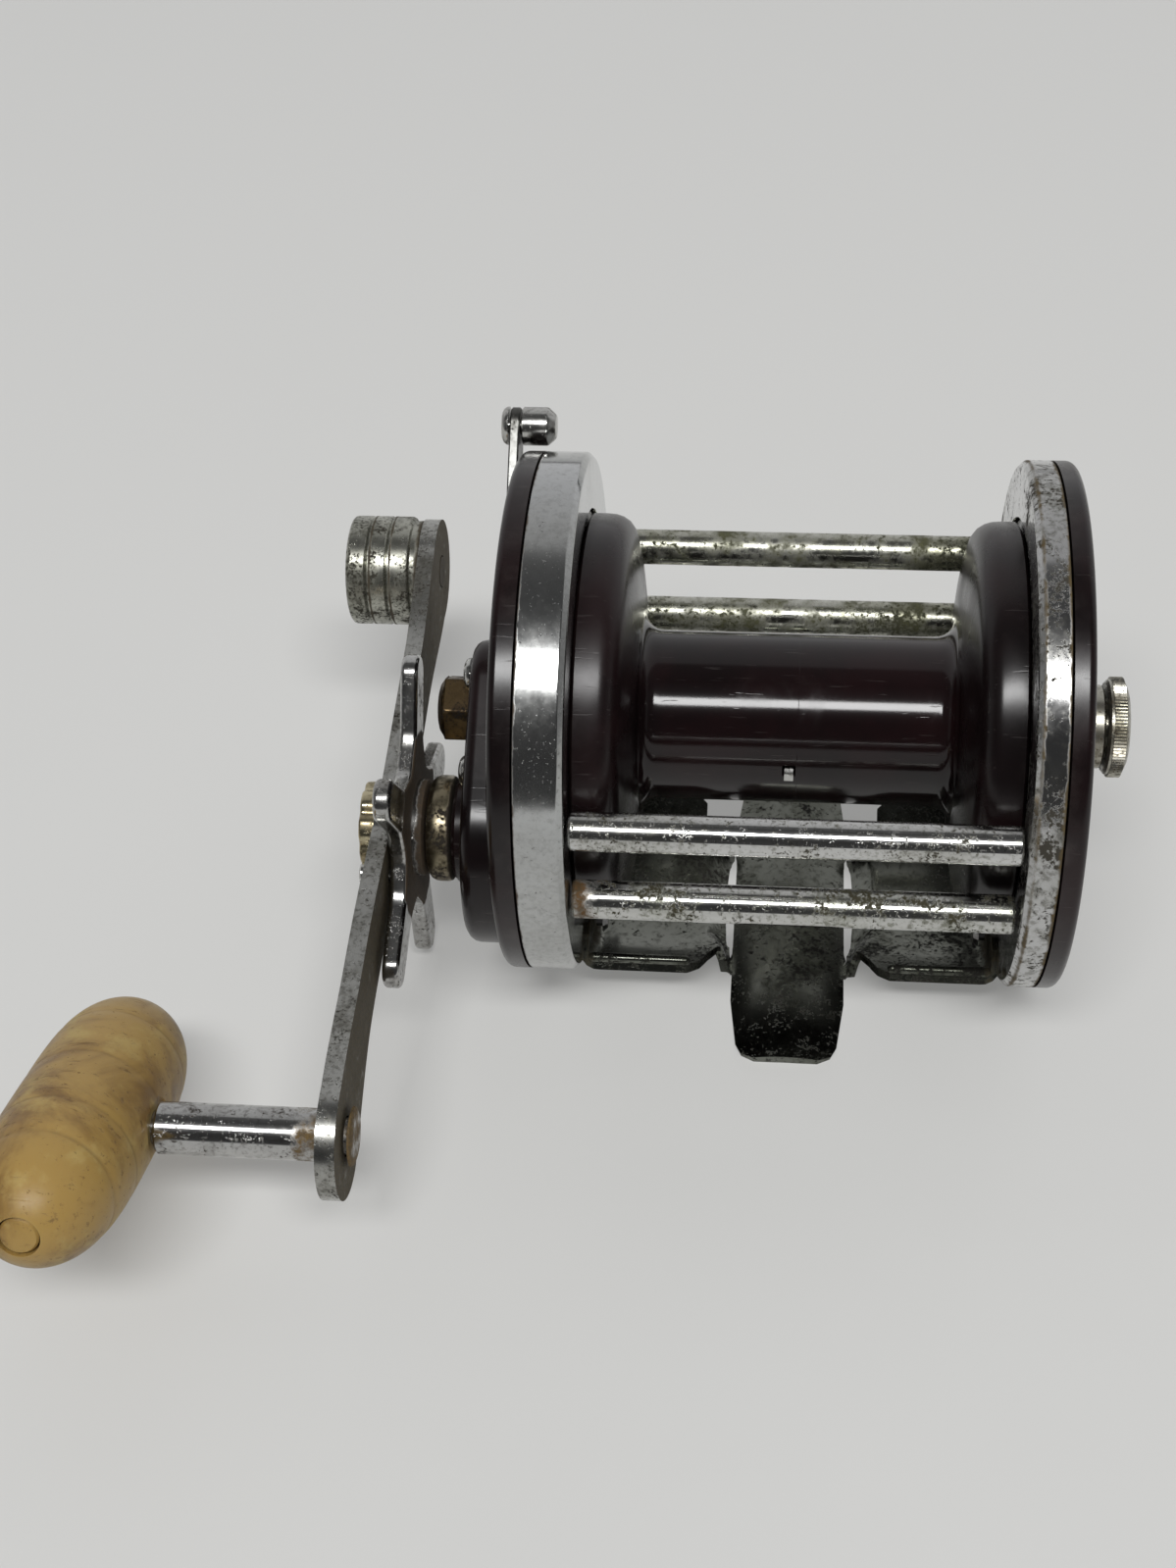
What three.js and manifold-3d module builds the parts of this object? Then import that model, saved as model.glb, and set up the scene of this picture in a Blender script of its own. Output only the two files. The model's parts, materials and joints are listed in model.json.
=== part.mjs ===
// Conventional star-drag sea reel, in millimetres, +Z up.
// The spool axis runs along X: the handle is at -X and the tail plate at +X.
// The front of the reel, where line leaves for the rod tip, faces -Y.
// The origin is the middle of the foot's underside, where it sits on a rod.
import * as THREE from 'three'
import { mergeVertices } from 'three/addons/utils/BufferGeometryUtils.js'
import Module from 'manifold-3d'

const wasm = await Module()
wasm.setup()

// Driving dimensions.
const axisHeight = 42.3 // spool axis above the rod seat
const gap = 0.3 // clearance between fixed pieces that touch
const runFit = 0.06 // radial clearance of a running fit

const ringRadius = 41.4
const ringBore = 32.5
const ringFace = 33.3 // inner faces of both rings, measured from the middle
const handleRingWidth = 7.3
const tailRingWidth = 4.6
const ringChamfer = 0.8

const plateEdge = 1.1 // rounding of the plates' outer rims
const handlePlateOut = 44.5
const tailPlateOut = 41.4
const spigotRadius = ringBore - gap
const spigotEnd = 34
const spigotWall = 2.3
const plateWall = 3

const pillarRadius = 2.95
const pillarCircle = 35.7
const pillarSpread = THREE.MathUtils.degToRad(11.5) // above and below the horizontal

const gearModule = 0.75
const mainTeeth = 39
const pinionTeeth = 13
const gearCentres = gearModule * (mainTeeth + pinionTeeth) / 2
const postAngle = THREE.MathUtils.degToRad(227) // from +Y towards +Z, at the spool axis
const postY = gearCentres * Math.cos(postAngle)
const postZ = gearCentres * Math.sin(postAngle)

const housingOut = 51.3 // outer face of the raised gear housing
const housingWall = 1.7
const housingRound = 2
const housingLobes = [
  { y: 0, z: 0, r: 10.4 }, // over the pinion
  { y: postY, z: postZ, r: 18.2 }, // over the main gear
  { y: 7.1, z: -10, r: 10.4 }, // over the pinion fork
  { y: -1.5, z: 5, r: 8.2 }, // under the upper housing screw
]
const guidePosts = [
  { y: 11.2, z: -4.1 },
  { y: 4, z: -16.5 },
]
const housingScrews = [
  { y: -1.4, z: 8.4 },
  { y: -13.6, z: -1.4 },
]

const shaftRadius = 1.55
const sleeveRadius = 4.4
const gearPostRadius = 2.9
const washerRadius = 10

const forkThickness = 1.4
const forkX = -38.7 // outer face of the fork when the pinion drives the spool

const leverPivot = { y: 14.3, z: 15.4 }
const leverKnobReach = 45.8 // knob centre from the spool axis

const flangeRadius = 31.8
const flangeOut = 33.5
const arborRadius = 13.5

const armAngle = THREE.MathUtils.degToRad(186.6)
const armOut = -65.7 // outer face of the handle arm
const armThickness = 2.3
const armHalfWidth = 6.2
const armEndRadius = 9.3
const gripReach = 58.2
const weightReach = 59.4
const starAngle = THREE.MathUtils.degToRad(127)
const starReach = 28
const starArms = 5

const gripPostRadius = 3.85
const gripLength = 60
const gripRadius = 11
const gripX = -102.1
const gripTurn = THREE.MathUtils.degToRad(-27.5)

const footHalfLength = 34.8
const footHalfWidth = 9.5
const archRadius = 30.8
const footThickness = 1.9
const frontWingSpan = THREE.MathUtils.degToRad(32.7) // half angle either side of straight down
const rearWingSpan = THREE.MathUtils.degToRad(28.3)
const wingEdge = 32.7
const wingThickness = 1.4

const materials = {
  chrome: new THREE.MeshStandardMaterial({ color: 0xb9bcba, roughness: 0.25, metalness: 1 }),
  nickel: new THREE.MeshStandardMaterial({ color: 0x9a9889, roughness: 0.4, metalness: 1 }),
  brass: new THREE.MeshStandardMaterial({ color: 0x8a7440, roughness: 0.45, metalness: 1 }),
  steel: new THREE.MeshStandardMaterial({ color: 0x7d7f80, roughness: 0.35, metalness: 1 }),
  moulded: new THREE.MeshStandardMaterial({ color: 0x241a1c, roughness: 0.35, metalness: 0 }),
  fibre: new THREE.MeshStandardMaterial({ color: 0x5a4030, roughness: 0.9, metalness: 0 }),
  amber: new THREE.MeshStandardMaterial({ color: 0xb39052, roughness: 0.4, metalness: 0 }),
}

// Closes a geometry: shared vertices, no flat triangles, faces pointing out.
function closed(geometry) {
  const bare = geometry.clone()
  bare.deleteAttribute('normal')
  bare.deleteAttribute('uv')
  const merged = mergeVertices(bare, 1e-4)
  const source = merged.index.array
  const kept = []
  for (let i = 0; i < source.length; i += 3) {
    const [a, b, c] = source.slice(i, i + 3)
    if (a !== b && b !== c && c !== a) kept.push(a, b, c)
  }
  merged.setIndex(kept)
  if (volume(merged) < 0) {
    for (let i = 0; i < kept.length; i += 3) [kept[i + 1], kept[i + 2]] = [kept[i + 2], kept[i + 1]]
    merged.setIndex(kept)
  }
  return merged
}

function volume(geometry) {
  const points = geometry.attributes.position
  const a = new THREE.Vector3()
  const b = new THREE.Vector3()
  const c = new THREE.Vector3()
  let sum = 0
  for (let i = 0; i < geometry.index.count; i += 3) {
    a.fromBufferAttribute(points, geometry.index.getX(i))
    b.fromBufferAttribute(points, geometry.index.getX(i + 1))
    c.fromBufferAttribute(points, geometry.index.getX(i + 2))
    sum += a.dot(b.cross(c)) / 6
  }
  return sum
}

function solid(geometry) {
  const mesh = closed(geometry)
  return new wasm.Manifold(new wasm.Mesh({
    numProp: 3,
    vertProperties: Float32Array.from(mesh.attributes.position.array),
    triVerts: Uint32Array.from(mesh.index.array),
  }))
}

function geometryOf(manifold) {
  const mesh = manifold.getMesh()
  const geometry = new THREE.BufferGeometry()
  geometry.setAttribute('position', new THREE.BufferAttribute(mesh.vertProperties, 3))
  geometry.setIndex(Array.from(mesh.triVerts))
  return geometry
}

function cut(body, ...tools) {
  return geometryOf(tools.reduce((left, tool) => left.subtract(solid(tool)), solid(body)))
}

function join(body, ...others) {
  return geometryOf(others.reduce((whole, other) => whole.add(solid(other)), solid(body)))
}

function common(body, other) {
  return geometryOf(solid(body).intersect(solid(other)))
}

// Turns an outline of [x, radius] points about the X axis.
function turned(outline, segments = 32) {
  const points = outline.map(([x, r]) => new THREE.Vector2(r, x))
  return closed(new THREE.LatheGeometry(points, segments).rotateZ(-Math.PI / 2))
}

// A solid bar of the given radius along X, or a tube where a bore is given.
function bar(radius, from, to, segments = 24, bore = 0) {
  if (bore === 0) return turned([[from, 0], [from, radius], [to, radius], [to, 0]], segments)
  return turned([[from, bore], [from, radius], [to, radius], [to, bore], [from, bore]], segments)
}

// Extrudes a shape drawn in the (Y, Z) plane along X, with an optional rounded rim.
function plate(shape, from, to, round = 0) {
  const geometry = new THREE.ExtrudeGeometry(shape, {
    depth: Math.abs(to - from) - 2 * round,
    bevelEnabled: round > 0,
    bevelThickness: round,
    bevelSize: round,
    bevelOffset: -round,
    bevelSegments: 2,
    curveSegments: 8,
  })
  const basis = new THREE.Matrix4().makeBasis(
    new THREE.Vector3(0, 1, 0), new THREE.Vector3(0, 0, 1), new THREE.Vector3(1, 0, 0))
  return geometry.applyMatrix4(basis).translate(Math.min(from, to) + round, 0, 0)
}

function at(geometry, y, z) {
  return geometry.clone().translate(0, y, z)
}

// The outline round a set of circles, as a hull of arcs.
function lobed(lobes, inset = 0, steps = 28) {
  const points = []
  for (let i = 0; i < steps; i++) {
    const angle = 2 * Math.PI * i / steps
    const reach = (lobe) => lobe.y * Math.cos(angle) + lobe.z * Math.sin(angle) + lobe.r
    const lobe = lobes.reduce((best, next) => (reach(next) > reach(best) ? next : best))
    const r = lobe.r - inset
    points.push(new THREE.Vector2(lobe.y + r * Math.cos(angle), lobe.z + r * Math.sin(angle)))
  }
  return new THREE.Shape(points)
}

// A spur gear outline with straight flanks that leave a little backlash.
function gearShape(teeth, phase) {
  const pitch = gearModule * teeth / 2
  const levels = [
    { r: pitch - 1.25 * gearModule, half: 0.32 },
    { r: pitch + 0.85 * gearModule, half: 0.1 },
  ]
  const step = 2 * Math.PI / teeth
  const points = []
  for (let i = 0; i < teeth; i++) {
    const middle = phase + i * step
    for (const { r, half } of levels) points.push([r, middle - half * step])
    for (const { r, half } of [...levels].reverse()) points.push([r, middle + half * step])
  }
  return new THREE.Shape(points.map(([r, a]) => new THREE.Vector2(r * Math.cos(a), r * Math.sin(a))))
}

// A wheel with slanted ratchet teeth.
function ratchetShape(teeth, root, tip) {
  const points = []
  for (let i = 0; i < teeth; i++) {
    const start = 2 * Math.PI * i / teeth
    const end = 2 * Math.PI * (i + 0.9) / teeth
    points.push(new THREE.Vector2(root * Math.cos(start), root * Math.sin(start)))
    points.push(new THREE.Vector2(tip * Math.cos(end), tip * Math.sin(end)))
  }
  return new THREE.Shape(points)
}

function screw(headRadius, headHeight, shankRadius, length) {
  return turned([
    [-headHeight, 0],
    [-headHeight, headRadius * 0.6],
    [0, headRadius],
    [0, shankRadius],
    [length, shankRadius],
    [length, 0],
  ], 10)
}

const reel = new THREE.Group()
const onAxis = new THREE.Group()
onAxis.position.z = axisHeight
reel.add(onAxis)

function add(name, geometry, material, group = onAxis) {
  const mesh = new THREE.Mesh(closed(geometry), materials[material])
  mesh.name = name
  group.add(mesh)
  return mesh
}

// --- frame: rings, pillars and stand ---

function ring(width) {
  const back = ringFace + width
  return turned([
    [ringFace, ringBore],
    [ringFace, ringRadius - ringChamfer],
    [ringFace + ringChamfer, ringRadius],
    [back, ringRadius],
    [back, ringBore],
    [ringFace, ringBore],
  ], 32)
}

add('handle_ring', ring(handleRingWidth).rotateY(Math.PI), 'chrome')
add('tail_ring', ring(tailRingWidth), 'chrome')

const pillarPlaces = {
  pillar_front_upper: Math.PI - pillarSpread,
  pillar_front_lower: Math.PI + pillarSpread,
  pillar_rear_upper: pillarSpread,
  pillar_rear_lower: -pillarSpread,
}
for (const [name, angle] of Object.entries(pillarPlaces)) {
  const pillar = bar(pillarRadius, gap - ringFace, ringFace - gap, 16)
  const mesh = add(name, pillar, 'chrome')
  mesh.position.set(0, pillarCircle * Math.cos(angle), pillarCircle * Math.sin(angle))
}

// The wings: a shell under the spool with a side flange against each ring.
function wings() {
  const down = -Math.PI / 2
  const sector = (inner, outer, part) => {
    const front = down - frontWingSpan * part
    const rear = down + rearWingSpan * part
    const shape = new THREE.Shape()
    shape.absarc(0, 0, outer, front, rear, false)
    shape.absarc(0, 0, inner, rear, front, true)
    return shape
  }
  const shell = plate(sector(ringRadius - wingThickness, ringRadius, 1), -wingEdge, wingEdge)
  const flange = sector(35.5, ringRadius - 0.5, 0.88)
  const left = plate(flange, -wingEdge, wingThickness - wingEdge)
  const right = plate(flange, wingEdge - wingThickness, wingEdge)
  return join(shell, left, right)
}

// The notches between the tongue and the wings, seen from above: [beyond the tongue's edge, y].
const frontNotch = [
  [-0.6, -30], [-0.6, -17.5], [0.4, -16.3], [1.8, -16.5], [3.2, -18.5], [5.6, -21], [5.6, -30],
]
const rearNotch = [[-0.6, 30], [-0.6, 15.6], [0.6, 14.5], [4.4, 14.5], [5.5, 15.8], [5.5, 30]]

function notch(side, outline) {
  const shape = new THREE.Shape(outline.map(([x, y]) => new THREE.Vector2(side * (footHalfWidth + x), y)))
  return new THREE.ExtrudeGeometry(shape, { depth: 20, bevelEnabled: false }).translate(0, 0, -50)
}

// The tongue: a strip arched across its width to sit on a rod, ground off on a slope at each tip.
function tongue() {
  const centre = -axisHeight - archRadius
  const facets = 48
  const along = (radius) => bar(radius, -footHalfLength - 5, footHalfLength + 5, facets)
    .rotateX(Math.PI / facets)
    .rotateZ(Math.PI / 2)
    .translate(0, 0, centre)
  const flat = archRadius / Math.cos(Math.PI / facets)
  const arch = cut(along(flat + footThickness), along(flat))
  const tip = 7.7
  const corner = 2.4
  const outline = new THREE.Shape()
  for (const side of [1, -1]) {
    const end = side * footHalfLength
    const line = side === 1 ? 'moveTo' : 'lineTo'
    outline[line](side * footHalfWidth, -side * 21)
    outline.lineTo(side * footHalfWidth, end - side * 13.8)
    outline.lineTo(side * (tip + 0.5), end - side * 3.5)
    outline.quadraticCurveTo(side * tip, end, side * (tip - corner), end)
    outline.lineTo(-side * (tip - corner), end)
    outline.quadraticCurveTo(-side * tip, end, -side * (tip + 0.5), end - side * 3.5)
    outline.lineTo(-side * footHalfWidth, end - side * 13.8)
  }
  const block = new THREE.ExtrudeGeometry(outline, { depth: 12, bevelEnabled: false, curveSegments: 4 })
  const slope = THREE.MathUtils.degToRad(19)
  const edge = centre + Math.sqrt(archRadius ** 2 - tip ** 2) + footThickness
  const ground = [1, -1].map((side) => {
    const block = new THREE.BoxGeometry(24, 12, 4).translate(0, 0, 2)
    return block.rotateX(-side * slope).translate(0, side * footHalfLength, edge)
  })
  return cut(common(arch, block.translate(0, 0, -50)), ...ground)
}

const notches = [notch(1, frontNotch), notch(-1, frontNotch), notch(1, rearNotch), notch(-1, rearNotch)]
const footScrewAngles = [-70, -110].map(THREE.MathUtils.degToRad)
const footScrewCircle = 37.4
const footScrewHoles = footScrewAngles.map((angle) =>
  at(bar(1.3, -40, 40, 12), footScrewCircle * Math.cos(angle), footScrewCircle * Math.sin(angle)))
add('foot_stand', cut(join(cut(wings(), ...notches), tongue()), ...footScrewHoles), 'chrome')

footScrewAngles.forEach((angle, i) => {
  for (const [side, turn] of [['handle', 0], ['tail', Math.PI]]) {
    const body = screw(2, 0.8, 1, 1.1).rotateY(turn + Math.PI)
    const mesh = add(`foot_screw_${side}_${i + 1}`, body, 'steel')
    const x = wingEdge - wingThickness - gap
    mesh.position.set(side === 'handle' ? -x : x, footScrewCircle * Math.cos(angle),
      footScrewCircle * Math.sin(angle))
  }
})

// --- side plates ---

function cup(out, ringBack) {
  const rim = ringBack + gap
  const floor = out - plateWall
  return turned([
    [out, 0],
    [out, ringRadius - plateEdge],
    [out - plateEdge * 0.3, ringRadius - plateEdge * 0.3],
    [out - plateEdge, ringRadius],
    [rim, ringRadius],
    [rim, spigotRadius],
    [spigotEnd, spigotRadius],
    [spigotEnd, spigotRadius - spigotWall],
    [floor, spigotRadius - spigotWall],
    [floor, 0],
  ], 32)
}

const plateScrewCircle = 36.8
const plateScrewRadius = 1.2
const handleScrewAngles = [75, 195, 315].map(THREE.MathUtils.degToRad)
const tailScrewAngles = [45, 165, 285].map(THREE.MathUtils.degToRad)
const screwSink = 1 // depth of the recess for a plate screw's head
const plateScrewHoles = (angles, face) => angles.flatMap((angle) => {
  const y = plateScrewCircle * Math.cos(angle)
  const z = plateScrewCircle * Math.sin(angle)
  const inside = face - Math.sign(face) * screwSink
  const recess = bar(2.8, Math.min(inside, 2 * face), Math.max(inside, 2 * face), 12)
  return [at(bar(plateScrewRadius + gap, -60, 60, 12), y, z), at(recess, y, z)]
})

function handlePlate() {
  const body = cup(handlePlateOut, ringFace + handleRingWidth).rotateY(Math.PI)
  const housing = plate(lobed(housingLobes), -housingOut, -handlePlateOut + 1, housingRound)
  const boss = at(turned([[-53.9, 0], [-53.9, 7.9], [-53.3, 8.6], [-50, 8.6], [-50, 0]], 24), postY, postZ)
  const cavity = plate(lobed(housingLobes, housingWall), housingWall - housingOut, -41)
  const holes = [
    at(bar(6.6, -60, -48, 24), postY, postZ),
    bar(4.3, -60, -48, 24),
    at(bar(2.2 + runFit, -50, -38, 20), leverPivot.y, leverPivot.z),
    ...housingScrews.map(({ y, z }) => at(bar(1.2, -60, -48, 12), y, z)),
    ...plateScrewHoles(handleScrewAngles, -handlePlateOut),
  ]
  return cut(join(body, housing, boss), cavity, ...holes)
}

add('handle_plate', handlePlate(), 'moulded')

const clickAngle = THREE.MathUtils.degToRad(50)
const clickCentre = 17.5
const clickTravel = 3
const clickStem = 1.6

function tailPlate() {
  const body = cup(tailPlateOut, ringFace + tailRingWidth)
  const boss = turned([[40.5, 0], [40.5, 9.6], [42, 9.6], [42.6, 9], [42.6, 0]], 32)
  const slot = new THREE.Shape()
  slot.absarc(clickCentre, 0, clickStem + gap, -Math.PI / 2, Math.PI / 2, false)
  slot.absarc(clickCentre - clickTravel, 0, clickStem + gap, Math.PI / 2, 3 * Math.PI / 2, false)
  const slotTool = plate(slot, 30, 50).rotateX(clickAngle)
  const bearingHole = bar(6.6 + gap, 30, 50, 32)
  return cut(join(body, boss), slotTool, bearingHole, ...plateScrewHoles(tailScrewAngles, tailPlateOut))
}

add('tail_plate', tailPlate(), 'moulded')

handleScrewAngles.forEach((angle, i) => {
  const mesh = add(`handle_plate_screw_${i + 1}`, screw(2.5, 0.6, plateScrewRadius, 3), 'nickel')
  const y = plateScrewCircle * Math.cos(angle)
  mesh.position.set(screwSink - gap - handlePlateOut, y, plateScrewCircle * Math.sin(angle))
})
tailScrewAngles.forEach((angle, i) => {
  const head = screw(2.5, 0.6, plateScrewRadius, 2.6).rotateY(Math.PI)
  const mesh = add(`tail_plate_screw_${i + 1}`, head, 'nickel')
  mesh.position.set(tailPlateOut + gap - screwSink, plateScrewCircle * Math.cos(angle),
    plateScrewCircle * Math.sin(angle))
})

// --- bearings ---

const hexCap = plate(new THREE.Shape(Array.from({ length: 6 }, (unused, i) => {
  const angle = Math.PI / 3 * (i + 0.5) + 0.25
  return new THREE.Vector2(5.7 * Math.cos(angle), 5.7 * Math.sin(angle))
})), -56.4, -51.6)
const hexNose = turned([[-57.4, 0], [-57.4, 3.5], [-56, 4.8], [-56, 0]], 24)
const hexNeck = bar(4, -52, -49.8, 24)
const bushingPocket = bar(3.1, -54.5, -49, 20)
add('hex_bearing_cap', cut(join(hexCap, hexNose, hexNeck), bushingPocket), 'brass')
add('handle_bushing', bar(3.1 - gap, -54.2, -50, 20, shaftRadius + runFit), 'brass')

const tailHousing = turned([
  [37.2, 3.4], [37.2, 6.6], [47.8, 6.6], [47.8, 4.5], [50.3, 4.5], [50.3, 3.4], [37.2, 3.4],
], 24)
add('tail_bearing_housing', tailHousing, 'nickel')
add('tail_bushing', bar(3.1, 38, 43, 24, shaftRadius + runFit), 'brass')

function tailCap() {
  const knurls = 24
  const points = Array.from({ length: knurls * 2 }, (unused, i) => {
    const angle = Math.PI * i / knurls
    const r = i % 2 === 0 ? 7.95 : 7.6
    return new THREE.Vector2(r * Math.cos(angle), r * Math.sin(angle))
  })
  const rim = plate(new THREE.Shape(points), 48.1, 51)
  const dome = turned([[50, 0], [50, 7.3], [51.1, 7.3], [51.6, 6.4], [51.6, 0]], 24)
  return cut(join(rim, dome), bar(4.5 + runFit, 47, 50.7, 24))
}

add('tail_bearing_cap', tailCap(), 'chrome')

// --- click: a button in a slot carries a tongue that reaches the click gear ---

const click = new THREE.Group()
click.rotation.x = clickAngle
onAxis.add(click)
const button = join(
  at(turned([[41.9, 0], [41.9, 3.6], [43.6, 3.9], [44.3, 3.2], [44.3, 0]], 20), clickCentre, 0),
  at(bar(clickStem, 37.8, 42.2, 16), clickCentre, 0))
add('click_button', button, 'chrome', click)
const tongueShape = new THREE.Shape([
  [clickCentre + 2.6, -2.4], [clickCentre + 2.6, 2.4], [clickCentre - 3, 2.4],
  [10.2, 0.7], [10.2, -0.7], [clickCentre - 3, -2.4],
].map(([y, z]) => new THREE.Vector2(y, z)))
add('click_tongue', plate(tongueShape, 36, 37.5), 'steel', click)

// --- spool: thick flanges, a waisted drum, a shaft with a click gear and a line peg ---

function spoolOutline() {
  const half = [
    [0, arborRadius],
    [21.6, arborRadius],
    [23.5, arborRadius + 0.8],
    [24.5, arborRadius + 2.4],
    [25.1, arborRadius + 7],
    [25.9, flangeRadius - 5.6],
    [26.7, flangeRadius - 2.5],
    [27.8, flangeRadius - 0.9],
    [29.4, flangeRadius],
    [flangeOut, flangeRadius],
    [flangeOut, shaftRadius + gap],
  ]
  const mirrored = half.slice(1).reverse().map(([x, r]) => [-x, r])
  return [...mirrored, ...half, mirrored[0]]
}

const pegHeight = 0.7
const pegHole = new THREE.BoxGeometry(2.1, 6, 2.1).translate(-1, -arborRadius + 1.2, pegHeight)
add('spool', cut(turned(spoolOutline(), 32), pegHole), 'moulded')
add('spool_shaft', bar(shaftRadius, -53.8, 42.6, 16), 'steel')
const peg = new THREE.BoxGeometry(1.5, 3, 1.5).translate(-1, -arborRadius, pegHeight)
add('line_peg', peg, 'chrome')
const clickGear = cut(plate(ratchetShape(12, 5, 6), 34.4, 36.9), bar(shaftRadius + gap, 30, 40, 16))
add('click_gear', clickGear, 'brass')

// --- gear case: bridge plate, posts, fork and pinion ---

const bridgeLobes = [
  { y: 0, z: 0, r: 7 },
  { y: postY, z: postZ, r: 9 },
  { y: guidePosts[0].y, z: guidePosts[0].z, r: 4 },
  { y: guidePosts[1].y, z: guidePosts[1].z, r: 4 },
  { y: -24.7, z: -9.4, r: 3.4 },
]
const dogPivot = bridgeLobes[4]
const bridge = cut(plate(lobed(bridgeLobes), -35.6, -34.2), bar(3, -36, -34, 24))
const bridgePins = [
  ...guidePosts.map(({ y, z }) => at(bar(1.1, -48, -35, 12), y, z)),
  at(bar(1.1, -39.8, -35, 12), dogPivot.y, dogPivot.z),
]
add('bridge_plate', bridge, 'brass')
add('gear_post', at(bar(gearPostRadius, -67.8, -35.9, 20), postY, postZ), 'steel')
const postNames = ['guide_post_upper', 'guide_post_lower', 'dog_pin']
bridgePins.forEach((pin, i) => {
  const trimmed = cut(pin, bar(40, -35.9, -30, 8))
  add(postNames[i], trimmed, 'steel')
})
housingScrews.forEach(({ y, z }, i) => {
  const mesh = add(`housing_screw_${i + 1}`, screw(2.6, 1.2, 0.9, 2.4), 'chrome')
  mesh.position.set(-housingOut - gap, y, z)
})

// The fork grips the pinion's groove and slides on the two guide posts.
function fork() {
  const arm = lobed([
    { y: 0, z: 0, r: 5.6 },
    { y: guidePosts[0].y, z: guidePosts[0].z, r: 3 },
    { y: guidePosts[1].y, z: guidePosts[1].z, r: 3 },
  ])
  const tail = lobed([
    { y: guidePosts[0].y, z: guidePosts[0].z, r: 2.6 },
    { y: leverPivot.y + 4.6, z: leverPivot.z - 3, r: 2.6 },
  ])
  const mouth = new THREE.Shape([[-12, -3.6], [0, -3.6], [0, 3.6], [-12, 3.6]]
    .map(([y, z]) => new THREE.Vector2(y, z)))
  const open = plate(mouth, -42, -34).rotateX(Math.PI / 3)
  return cut(join(plate(arm, forkX, forkX + forkThickness), plate(tail, forkX, forkX + forkThickness)),
    open, bar(3.6, -42, -34, 20), ...guidePosts.map(({ y, z }) => at(bar(1.1 + runFit, -42, -34, 16), y, z)))
}

add('pinion_fork', fork(), 'steel')

function spring() {
  const turns = 4
  const from = forkX - gap - 0.35
  const to = -49
  class Coil extends THREE.Curve {
    getPoint(t, target = new THREE.Vector3()) {
      const angle = 2 * Math.PI * turns * t
      return target.set(from + (to - from) * t, 1.65 * Math.cos(angle), 1.65 * Math.sin(angle))
    }
  }
  const wire = new THREE.Shape(Array.from({ length: 4 }, (unused, i) => {
    const angle = 2 * Math.PI * i / 4
    return new THREE.Vector2(0.25 * Math.cos(angle), 0.25 * Math.sin(angle))
  }))
  return new THREE.ExtrudeGeometry(wire, { steps: turns * 6, extrudePath: new Coil(), bevelEnabled: false })
}

guidePosts.forEach(({ y, z }, i) => {
  add(`fork_spring_${i + 1}`, at(spring(), y, z), 'steel')
})

const pinionTeethX = -41.2
const pinionBody = turned([
  [-46.2, 0], [-46.2, 3.9], [-40.9, 3.9], [-40.9, 4.1], [-39, 4.1], [-39, 3.3],
  [-37, 3.3], [-37, 4.1], [-36, 4.1], [-36, 0],
], 20)
const pinionPhase = postAngle + Math.PI / pinionTeeth
const pinionWheel = plate(gearShape(pinionTeeth, pinionPhase), -46.2, pinionTeethX)
add('pinion', cut(join(pinionBody, pinionWheel), bar(shaftRadius + runFit, -50, -34, 16)), 'brass')

// --- free-spool lever: shaft with a cam inside, plate and knob outside ---

const leverDirection = Math.atan2(leverPivot.z, leverPivot.y)
const lever = new THREE.Group()
lever.position.set(0, leverPivot.y, leverPivot.z)
lever.rotation.x = leverDirection
onAxis.add(lever)
const leverReach = leverKnobReach - Math.hypot(leverPivot.y, leverPivot.z)
const leverOutline = lobed([{ y: 0, z: 0, r: 5 }, { y: leverReach, z: 0, r: 3 }])
const leverPlate = plate(leverOutline, -47.3, -45.7)
const leverBore = bar(2.5, -49, -45, 20)
const knobBore = at(bar(1.5, -50, -45, 16), leverReach, 0)
add('lever_plate', cut(leverPlate, leverBore, knobBore), 'chrome', lever)
const leverKnob = turned([
  [-48.7, 0], [-48.7, 2.5], [-48, 3.1], [-47.6, 3.1], [-47.6, 1.2], [-45.4, 1.2], [-45.4, 3.1],
  [-41.4, 3.1], [-40, 1.9], [-40, 0],
], 20)
add('lever_knob', at(leverKnob, leverReach, 0), 'chrome', lever)
const camShaft = turned([
  [-48.4, 0], [-48.4, 3], [-47.6, 3.6], [-47.6, 2.2], [-36.9, 2.2], [-36.9, 5], [-35.9, 5], [-35.9, 0],
], 20)
add('lever_cam', cut(camShaft, new THREE.BoxGeometry(4, 12, 12).translate(-36.4, 0, -7.8)), 'steel', lever)

// --- drive: everything that turns with the handle about the gear post ---

const drive = new THREE.Group()
drive.position.set(0, postY, postZ)
onAxis.add(drive)

const sleeve = turned([
  [-68.4, gearPostRadius + runFit], [-68.4, sleeveRadius], [-38.2, sleeveRadius],
  [-38.2, 5.6], [-36.6, 5.6], [-36.6, gearPostRadius + runFit], [-68.4, gearPostRadius + runFit],
], 24)
add('gear_sleeve', sleeve, 'steel', drive)
const sleeveHole = bar(sleeveRadius + gap, -70, -34, 24)
add('ratchet', cut(plate(ratchetShape(12, 6.4, 7.8), -40, -38.5), sleeveHole), 'steel', drive)
add('drag_washer_inner', bar(washerRadius, -41.2, -40.4, 20, sleeveRadius + gap), 'fibre', drive)
const mainPhase = postAngle + Math.PI
const mainWheel = plate(gearShape(mainTeeth, mainPhase), -45.7, -41.5)
add('main_gear', cut(mainWheel, sleeveHole), 'brass', drive)
add('drag_washer_middle', bar(washerRadius, -46.8, -46, 20, sleeveRadius + gap), 'steel', drive)
add('drag_washer_outer', bar(washerRadius, -48, -47.1, 20, sleeveRadius + gap), 'fibre', drive)
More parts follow.
